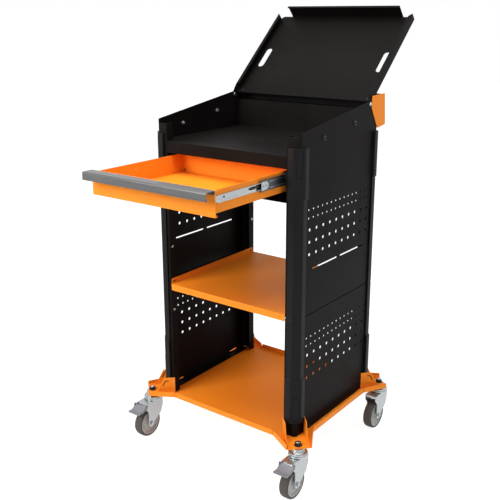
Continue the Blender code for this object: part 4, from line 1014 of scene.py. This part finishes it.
def end_plate(label):
    """A plain five-sided plate that closes one end of the trough and laps onto the side panel."""
    front, low, top = HALF_DEPTH + GAP, TROUGH_BASE, TROUGH_BASE + TROUGH_HEIGHT
    outline = [(HALF_DEPTH - 0.052, PIVOT_Z - 0.013), (HALF_DEPTH - 0.0095, low - 0.0025),
               (front + 0.0427, low + 0.0046), (front + 0.0324, top + 0.0025),
               (HALF_DEPTH - 0.049, top - 0.0005)]
    plate = 0.002
    start = HALF_WIDTH + GAP if SIDES[label] > 0 else -HALF_WIDTH - GAP - plate
    obj = side_plate(f"trough_end_{label}", start, outline, 0.004, plate)
    settle(soften(obj, 0.0005, 2), "orange_powder_coat", "cabinet", [f"trough_end_plate_{label}"])


# Drawer and slides

DRAWER_PLACE = Matrix.Translation((0, -DRAWER_OPEN, 0))


def drawer_front():
    """The drawer's front, folded over the box at its top, hemmed at its ends and curled at its foot."""
    face, base, top, end_hem = -HALF_DEPTH, DRAWER_BASE, DRAWER_TOP, (0, 0.0027, 0)
    curl = face + 0.009
    path = [(face + 0.008, top), (face, top), (face, base), (curl, base), (curl, base + 0.005)]
    half, low, high = DRAWER_FRONT_HALF, base + 0.004, top - 0.004
    faces = strip(path, half)
    faces[1] = [(-half, face, base), (half, face, base), (half, face, low), (half, face, high),
                (half, face, top), (-half, face, top), (-half, face, high), (-half, face, low)]
    faces.append(flange(faces[1][2], faces[1][3], end_hem))
    faces.append(flange(faces[1][6], faces[1][7], end_hem))
    obj = folded("drawer_face", faces, SHEET, PANEL_BEND)
    settle(obj, "orange_powder_coat", "drawer", ["drawer_front"], DRAWER_PLACE)


def drawer_box():
    """The drawer's tray, with a hole low in each rear corner."""
    base, rear = DRAWER_BASE + 0.007, -HALF_DEPTH + DRAWER_LENGTH
    floor = tray_floor(DRAWER_HALF, -HALF_DEPTH + SHEET + GAP, rear, base)
    up = (0, 0, DRAWER_TOP - 0.002 - base)
    faces = [floor] + [flange(start, floor[(i + 1) % 4], up) for i, start in enumerate(floor)]
    obj = folded("drawer_tray", faces, SHEET, TRAY_BEND)
    apply_modifiers(obj)
    for side in SIDES.values():
        corner = side * (DRAWER_HALF - 0.008), rear, base + 0.009
        bore(obj, 0.0036, corner, "Y", 0.012, label="back_hole")
    settle(obj, "orange_powder_coat", "drawer", ["drawer_box"], DRAWER_PLACE)


def drawer_handle():
    """An extruded channel, open below for the fingers, with a heel on the front and a turned-in toe."""
    back = -HALF_DEPTH - GAP
    front, top = back - 0.037, DRAWER_TOP + 0.002
    low, heel, toe = top - 0.024, top - 0.012, front + 0.007
    wall, bend = 0.0025, 0.0060

    def arc(radius, steps):
        points = []
        for i in range(steps + 1):
            angle = math.pi / 2 * (1 + i / steps)
            points.append((front + bend + radius * math.cos(angle), top - bend + radius * math.sin(angle)))
        return points

    outline = [(back, heel), (back, top)] + arc(bend, 8)
    outline += [(front, low), (toe, low), (toe, low + wall), (front + wall, low + wall)]
    outline += arc(bend - wall, 6)[::-1]
    outline += [(back - wall, top - wall), (back - wall, heel)]
    half = DRAWER_FRONT_HALF
    obj = block("drawer_pull", [(-half, y, z) for y, z in outline], (2 * half, 0, 0))
    settle(soften(obj, 0.0004, 2, 40), "brushed_aluminium", "drawer", ["drawer_handle"], DRAWER_PLACE)


def slide_channel(name, web, faces_right, lip, height, front, look, body, nodes, place=Matrix()):
    """One channel of a drawer slide, its web at X = web and its lips away from the side it faces."""
    rear = front + SLIDE_LENGTH
    low, high = SLIDE_Z - height / 2, SLIDE_Z + height / 2
    back = [(0, front, low), (0, rear, low), (0, rear, high), (0, front, high)]
    faces = [back, flange(back[2], back[3], (-lip, 0, 0)), flange(back[0], back[1], (-lip, 0, 0))]
    faces = mirrored(faces, faces_right)
    faces = [[(point[0] + web, point[1], point[2]) for point in face] for face in faces]
    settle(folded(name, faces, SLIDE_SHEET, TRAY_BEND, rim=0.0002), look, body, nodes, place)


def slides(label):
    """One side's slide: a rail on the bay, a carrier that nests in it, and a runner on the drawer."""
    side = SIDES[label]
    front, outside = -HALF_DEPTH + 0.003, BAY_HALF - SHEET - GAP
    nest, lip = SLIDE_SHEET + GAP, 0.0095
    carrier, runner = outside - nest, DRAWER_HALF + GAP
    slide_channel(f"slide_rail_{label}", side * outside, side, lip, 0.035, front,
                  "dark_slide_steel", "cabinet", [f"slide_outer_{label}"])
    slide_channel(f"slide_carrier_{label}", side * carrier, side, lip - nest, 0.0310, front,
                  "dark_slide_steel", "slide_middles", [f"slide_middle_{label}"],
                  Matrix.Translation((0, -CARRIER_OPEN, 0)))
    slide_channel(f"slide_runner_{label}", side * runner, -side, outside - 2 * nest - runner, 0.020,
                  -HALF_DEPTH + 0.015, "zinc_plate", "drawer", [f"slide_inner_{label}"], DRAWER_PLACE)
    slide_clip(label, front - CARRIER_OPEN, side * (carrier - 0.0005))
    lever = [(-0.386, 0.0005), (-0.378, 0.0035), (-0.362, 0.0035), (-0.352, 0.0010), (-0.352, -0.0020),
             (-0.364, -0.0020), (-0.374, -0.0035), (-0.386, -0.0035)]
    lever = [(y, SLIDE_Z + z) for y, z in lever]
    latch = side_plate(f"release_lever_{label}", side * (runner + 0.0016), lever, 0.0008, side * 0.0030)
    settle(soften(latch, 0.0004, 2, 40), "blackened_steel", "drawer")


def slide_clip(label, start, web):
    """The bright clip at the carrier's front end, and behind it two light strips along the race beads, as
    painted highlight.
    """
    side = SIDES[label]
    end, shoulder, tip = start + 0.0005, start + 0.026, start + 0.034
    outline = [(end, -0.0118), (shoulder, -0.0118), (tip, -0.0050), (tip, 0.0050), (shoulder, 0.0118),
               (end, 0.0118)]
    outline = [(y, SLIDE_Z + z) for y, z in outline]
    clip = side_plate(f"slide_clip_{label}", web, outline, 0.0015, side * 0.00065)
    for y in (0.009, 0.022):
        bore(clip, 0.0024, (web, start + y, SLIDE_Z), "X", 0.010, label="clip_hole")
    settle(clip, "zinc_plate", "slide_middles")
    # The strips stand for the race beads; their light zinc colour is painted highlight along the bead edges.
    for word, z in (("upper", SLIDE_Z + 0.0080), ("lower", SLIDE_Z - 0.0098)):
        line = rectangle((start + 0.040, z), (start + 0.335, z + 0.0018))
        race = side_plate(f"race_line_{word}_{label}", web, line, 0.0007, side * 0.00060)
        settle(race, "zinc_plate", "slide_middles")


# Casters

def caster_place(key, part=(0, 0, 0)):
    """Where a caster's king pin stands, or a part of the caster given from there."""
    across, deep = CORNERS[key]
    stem = Vector((across * (HALF_WIDTH + CASTER_OUT), deep * (HALF_DEPTH + CASTER_OUT), 0))
    return Matrix.Translation(stem + Vector(part))


def caster_raceway(key):
    """The caster's fixed half: threaded stem, two race rings under a neck, and the king pin's head."""
    head_top = FORK_TOP - FORK_SHEET - GAP
    low, top = FORK_TOP + GAP, BASE - GAP
    stem_top = NUT_SEAT + 0.012
    king_pin, stem = 0.0055, 0.0060
    profile = [(0, head_top - 0.0025), (0.0088, head_top - 0.0025), (0.010, head_top - 0.0015),
               (0.010, head_top), (king_pin, head_top), (king_pin, low), (0.0286, low),
               (0.0304, low + 0.0012), (0.0310, low + 0.0035), (0.0302, low + 0.0058),
               (0.0284, low + 0.0064), (0.0284, low + 0.0072), (0.0298, low + 0.0080),
               (0.0303, low + 0.0098), (0.0294, low + 0.0116), (0.0262, low + 0.0124),
               (0.0222, low + 0.0134), (0.0208, low + 0.0150), (0.0206, top - 0.0050),
               (0.0216, top - 0.0030), (0.0219, top - 0.0016), (0.0216, top), (stem, top),
               (stem, stem_top - 0.001), (0.0052, stem_top), (0, stem_top)]
    obj = turned(f"caster_race_{key}", profile, 48)
    settle(obj, "zinc_plate", "cabinet", [f"caster_raceway_{key}"], caster_place(key))


def caster_nut(key):
    """A black flange nut on the stem."""
    low, hole = NUT_SEAT, 0.0063
    profile = [(hole, low), (0.0122, low), (0.0125, low + 0.0008), (0.0118, low + 0.0022),
               (0.0096, low + 0.0030), (hole, low + 0.0030)]
    obj = turned(f"stem_nut_{key}", profile, 36)

    def hexagon(bm):
        outer, inner = circle(0.0107, 6), circle(hole, 6)
        foot, top = low + 0.0026, low + 0.0100
        rings = []
        for ring, z in ((outer, foot), (outer, top), (inner, top), (inner, foot)):
            rings.append([bm.verts.new((a, b, z)) for a, b in ring])
        bmesh.ops.recalc_face_normals(bm, faces=skin(bm, rings + rings[:1]))

    grow(obj, hexagon)
    soften(obj, 0.0006, 2, 40)
    settle(obj, "blackened_steel", "cabinet", [f"caster_nut_{key}"], caster_place(key))


def caster_fork(key, braked):
    """A pressed fork: a top plate under the raceway and two legs that taper to the axle."""
    x, front, rear, eye, steps = FORK_HALF, -0.0585, 0.027, 0.0135, 12
    top = [(-x, front, FORK_TOP), (x, front, FORK_TOP), (x, rear, FORK_TOP), (-x, rear, FORK_TOP)]
    leg = []
    for i in range(steps + 1):
        angle = math.pi * (1 + i / steps)
        leg.append((x, AXLE_PLACE.y + eye * math.cos(angle), AXLE_PLACE.z + eye * math.sin(angle)))
    leg += [(x, 0.016, FORK_TOP - 0.056), (x, rear, FORK_TOP - 0.029), top[2], top[1],
            (x, front, FORK_TOP - 0.021), (x, AXLE_PLACE.y - eye, FORK_TOP - 0.033)]
    leg = rounded(leg, 0.016, 6, (13, 14, 17, 18))
    faces = [top]
    for hand in SIDES.values():
        faces.extend(mirrored([leg], hand))
    obj = folded(f"caster_fork_{key}_pressing", faces, FORK_SHEET, 0.0050, rim=0.0006)
    apply_modifiers(obj)
    bore(obj, KING_HOLE, (0, 0, FORK_TOP), "Z", 0.012)
    bore(obj, AXLE_HOLE, AXLE_PLACE, "X", 0.1)
    if braked:
        bore(obj, PEDAL_HOLE, PEDAL_PLACE, "X", 0.1)
    settle(obj, "zinc_plate", f"fork_{key}", [f"caster_fork_{key}"], caster_place(key))


def cross_pin(name, radius, head_radius, inside, head, place, body, nodes):
    """A pin along X with a chamfered hexagon head on a washer at each end."""
    near, far = inside + GAP, inside + GAP + head
    washer = near + head * 0.25
    profile = [(0, -washer), (head_radius, -washer), (head_radius, -near), (radius, -near),
               (radius, near), (head_radius, near), (head_radius, washer), (0, washer)]
    obj = turned(name, profile, 28, "X")

    def heads(bm):
        hexagon = circle(head_radius * 0.86, 6, turn=0.3)
        for hand in SIDES.values():
            start = hand * washer * 0.999
            prism(bm, [(start, a, b) for a, b in hexagon], (hand * (far - washer), 0, 0))

    grow(obj, heads)
    settle(soften(obj, 0.0004, 2, 40), "zinc_plate", body, nodes, place)


def wheel(key):
    """A wheel: a webbed rim with rings round its hub, and the tyre round it."""
    place = caster_place(key, AXLE_PLACE)
    half = [(0.0045, 0.0180), (0.0085, 0.0180), (0.0112, 0.0166), (0.0132, 0.0120), (0.0145, 0.0082),
            (0.0190, 0.0078), (0.0199, 0.0092), (0.0213, 0.0092), (0.0222, 0.0076), (0.0275, 0.0076),
            (0.0284, 0.0090), (0.0296, 0.0090), (0.0305, 0.0074), (0.0362, 0.0074), (0.0370, 0.0130),
            (0.0382, 0.0145), (0.0417, 0.0145)]
    rim = turned(f"wheel_rim_{key}", [(r, -x) for r, x in half] + half[::-1], 64, "X")
    settle(rim, "rim_grey_plastic", f"wheel_{key}", [f"caster_rim_{key}"], place, 50)
    side = [(0.0420, 0.0152), (0.0432, 0.0159), (0.0448, 0.0160), (0.0464, 0.0155), (0.0480, 0.0140),
            (0.0492, 0.0114), (0.0498, 0.0076), (0.0500, 0.0030)]
    tyre = turned(f"wheel_tyre_{key}", [(r, -x) for r, x in side] + side[::-1], 72, "X")
    settle(tyre, "grey_rubber", f"wheel_{key}", [f"caster_tyre_{key}"], place, 60)


def brake_pedal(key):
    """A foot pedal pressed from plate: two lugs on the fork's pin, a steep shank and a ribbed tread."""
    place = caster_place(key, PEDAL_PLACE)
    body, half = f"pedal_{key}", FORK_HALF + GAP + PEDAL_SHEET
    steep, slope = math.radians(34), math.radians(9)
    shank, tread, flare, lug_radius = 0.023, 0.0185, 1.14, 0.0065
    heel = Vector((-0.010, 0.0046))
    knee = heel - shank * Vector((math.cos(steep), math.sin(steep)))
    toe = knee - tread * Vector((math.cos(slope), math.sin(slope)))
    faces = strip([heel, knee, toe], half)
    flared = [(x * flare, y, z) for x, y, z in faces[-1][:2]] + faces[-1][2:]
    faces[-1] = rounded(flared, 0.004, 4, (0, 1))
    lug = [heel, knee, (knee.x, knee.y - 0.008), (0, -lug_radius), (lug_radius, 0), (0, lug_radius)]
    lug = rounded([(half, y, z) for y, z in lug], 0.005, 4, (3, 4, 5))
    for hand in SIDES.values():
        faces.extend(mirrored([lug], hand))
    obj = folded(f"brake_pedal_{key}_pressing", faces, PEDAL_SHEET, 0.0036, rim=0.0005)
    apply_modifiers(obj)
    bore(obj, PEDAL_HOLE, (0, 0, 0), "X", 0.1)
    settle(obj, "pedal_grey", body, [f"brake_pedal_{key}"], place)
    tab = [(-0.010, -0.009), (-0.001, -0.003), (-0.002, 0.0055), (-0.008, 0.0045)]
    tab = [heel + Vector(point) for point in tab]
    tab = side_plate(f"pedal_tab_{key}", -half + 0.0001, tab, 0.0016, 0.0024)
    settle(soften(tab, 0.0005, 2, 40), "pedal_grey", body, (), place)
    down = Vector((0, -math.cos(slope), -math.sin(slope)))
    up = Vector((0, -math.sin(slope), math.cos(slope)))
    start = Vector((0, *knee)) + down * 0.004
    section = [(0.0, -0.0004), (0.0022, -0.0004), (0.0016, 0.0010), (0.0006, 0.0010)]
    section = [start + down * along + up * out for along, out in section]
    rib_half = half - 0.004
    rib = block("tread_rib", [(-rib_half, point.y, point.z) for point in section], (2 * rib_half, 0, 0))
    rib_row(f"pedal_ribs_{key}", rib, 3, down * 0.0042, "pedal_grey", body, place)


def caster(key):
    """One caster; the front two have brakes."""
    braked = CORNERS[key][1] < 0
    caster_raceway(key)
    caster_nut(key)
    caster_fork(key, braked)
    cross_pin(f"wheel_axle_{key}", 0.004, 0.0075, FORK_HALF, 0.005, caster_place(key, AXLE_PLACE),
              f"fork_{key}", [f"caster_axle_{key}"])
    wheel(key)
    if braked:
        brake_pedal(key)
        cross_pin(f"pedal_pin_{key}_rivet", 0.003, 0.0045, FORK_HALF + GAP + PEDAL_SHEET, 0.0015,
                  caster_place(key, PEDAL_PLACE), f"fork_{key}", [f"pedal_pin_{key}"])


# Small fasteners

def on_both_sides(x, spots, way):
    """Places at (y, z) spots on the left and on the right, facing outwards (1) or inwards (-1)."""
    return [((side * x, y, z), (side * way, 0, 0)) for side in SIDES.values() for y, z in spots]


def fasteners():
    """The screws, nuts and rivets that show."""
    head, nut, rivet = button_head(), hex_nut(), pan_rivet()
    spots = [(-0.103, 1.0824), (0.0755, 1.1062)]
    outer, inner = on_both_sides(HALF_WIDTH, spots, 1), on_both_sides(HALF_WIDTH - SHEET, spots, -1)
    scatter("panel_bolts", head, outer, "blackened_steel", "cabinet", 1.45)
    scatter("panel_nuts", nut, inner, "zinc_plate", "cabinet")
    spots = [(y, z) for z in (0.689, 0.466) for y in (-0.219, 0.219)]
    scatter("post_screws", rivet, on_both_sides(POST_EDGE, spots, -1), "zinc_plate", "cabinet", 1.45)
    spots = [(y, SLIDE_Z) for y in (-0.499, -0.390)]
    runners = on_both_sides(DRAWER_HALF + GAP + SLIDE_SHEET, spots, 1)
    scatter("runner_rivets", rivet, runners, "blackened_steel", "drawer", 0.9)
    spots = [(y, SLIDE_Z + 0.002) for y in (-0.388, -0.246)]
    walls = on_both_sides(DRAWER_HALF - SHEET, spots, -1)
    scatter("wall_rivets", rivet, walls, "zinc_plate", "drawer", 0.8)
    turn = Matrix.Rotation(LID_TILT, 3, "X")
    pivot = Vector((0, PIVOT_Y, PIVOT_Z))
    under_lid = turn @ Vector((0, 0, -1))
    screws = []
    for side in SIDES.values():
        screws.append((pivot + turn @ Vector((side * 0.25, -0.027, LID_RISE - SHEET)), under_lid))
    scatter("lid_screws", rivet, screws, "blackened_steel", "lid")
    for shape in (head, nut, rivet):
        bpy.data.objects.remove(shape)


# Floor, light and camera

def background_rays(tree):
    """1 for the rays that show the white background: those from the camera, off a gloss or through glass."""
    path = add_node(tree, "ShaderNodeLightPath")
    seen = path.outputs["Is Camera Ray"]
    for kind in ("Is Glossy Ray", "Is Transmission Ray"):
        either = add_node(tree, "ShaderNodeMath", operation="MAXIMUM")
        tree.links.new(seen, either.inputs[0])
        tree.links.new(path.outputs[kind], either.inputs[1])
        seen = either.outputs[0]
    return seen


def pale_floor():
    """A floor that takes the shadow and looks white."""
    bm = bmesh.new()
    bmesh.ops.create_grid(bm, x_segments=1, y_segments=1, size=14)
    floor = new_object("floor", bm)
    floor.location.z = -0.0005
    material = bpy.data.materials.new("pale_floor")
    material.use_nodes = True
    tree = material.node_tree
    link = tree.links.new
    shader = tree.nodes["Principled BSDF"]
    shader.inputs["Roughness"].default_value = 0.9
    shader.inputs["Specular IOR Level"].default_value = 0.1
    shader.inputs["Emission Color"].default_value = (1, 1, 1, 1)
    seen = background_rays(tree)
    glow = add_node(tree, "ShaderNodeMath", operation="MULTIPLY")
    glow.inputs[1].default_value = 0.90
    link(seen, glow.inputs[0])
    link(glow.outputs[0], shader.inputs["Emission Strength"])
    greys = {"A": (0.8, 0.8, 0.8, 1), "B": (0.3, 0.3, 0.3, 1)}
    tint = add_node(tree, "ShaderNodeMix", greys, data_type="RGBA")
    link(seen, tint.inputs["Factor"])
    link(tint.outputs["Result"], shader.inputs["Base Color"])
    floor.data.materials.append(material)


def studio():
    """A white world whose light on the object grows from the horizon to the zenith."""
    world = bpy.data.worlds.new("studio")
    bpy.context.scene.world = world
    world.use_nodes = True
    tree = world.node_tree
    link = tree.links.new
    background = tree.nodes["Background"]
    background.inputs["Color"].default_value = (1, 1, 1, 1)
    seen = background_rays(tree)
    place = add_node(tree, "ShaderNodeTexCoord")
    split = add_node(tree, "ShaderNodeSeparateXYZ")
    link(place.outputs["Generated"], split.inputs["Vector"])
    overhead = add_node(tree, "ShaderNodeMapRange", {"From Min": 0.0, "From Max": 1.0,
                                                     "To Min": 0.13, "To Max": 0.70})
    link(split.outputs["Z"], overhead.inputs["Value"])
    level = add_node(tree, "ShaderNodeMix", {"B": 1.0}, data_type="FLOAT")
    link(seen, level.inputs["Factor"])
    link(overhead.outputs["Result"], level.inputs["A"])
    link(level.outputs["Result"], background.inputs["Strength"])


def lamp(name, place, aim, size, power):
    """An area lamp turned to its aim."""
    light = bpy.data.lights.new(name, "AREA")
    light.shape = "RECTANGLE"
    light.size, light.size_y = size
    light.energy = power
    obj = bpy.data.objects.new(name, light)
    obj.location = place
    obj.rotation_euler = (Vector(aim) - Vector(place)).to_track_quat("-Z", "Y").to_euler()
    bpy.context.scene.collection.objects.link(obj)


def camera():
    """The photograph's camera, fitted to the rows of peg holes."""
    data = bpy.data.cameras.new("camera")
    data.lens = 55.07
    data.sensor_width = 36
    data.shift_x = -0.0086
    data.shift_y = -0.0373
    obj = bpy.data.objects.new("camera", data)
    obj.location = (1.4336, SHIFT - 2.0052, 1.4291)
    obj.rotation_euler = (math.radians(74.161), 0, math.radians(36.598))
    bpy.context.scene.collection.objects.link(obj)
    bpy.context.scene.camera = obj


def main():
    """Builds every piece, then the stage."""
    base_pan()
    for key in CORNERS:
        corner_bracket(key)
        corner_guard(key)
        caster(key)
    middle_shelf()
    worktop()
    drawer_bay()
    back_panel()
    lid()
    rear_trough()
    drawer_front()
    drawer_box()
    drawer_handle()
    for label in SIDES:
        lower_panel(label)
        upper_panel(label)
        seam_strip(label)
        lid_pivot(label)
        end_plate(label)
        slides(label)
    fasteners()
    pale_floor()
    studio()
    lamp("key_light", (-0.9, -2.6, 2.1), (0, -0.3, 0.8), (1.5, 1.5), 68)
    lamp("side_light", (3.2, -0.6, 2.2), (0, 0, 0.7), (1.8, 2.4), 20)
    lamp("top_light", (0, -0.7, 3.0), (0, -0.3, 0.6), (1.8, 1.8), 66)
    lamp("rear_light", (2.2, 2.9, 2.4), (0, 0.2, 0.7), (1.8, 1.8), 22)
    camera()
    bpy.context.scene.view_settings.view_transform = "Standard"


main()
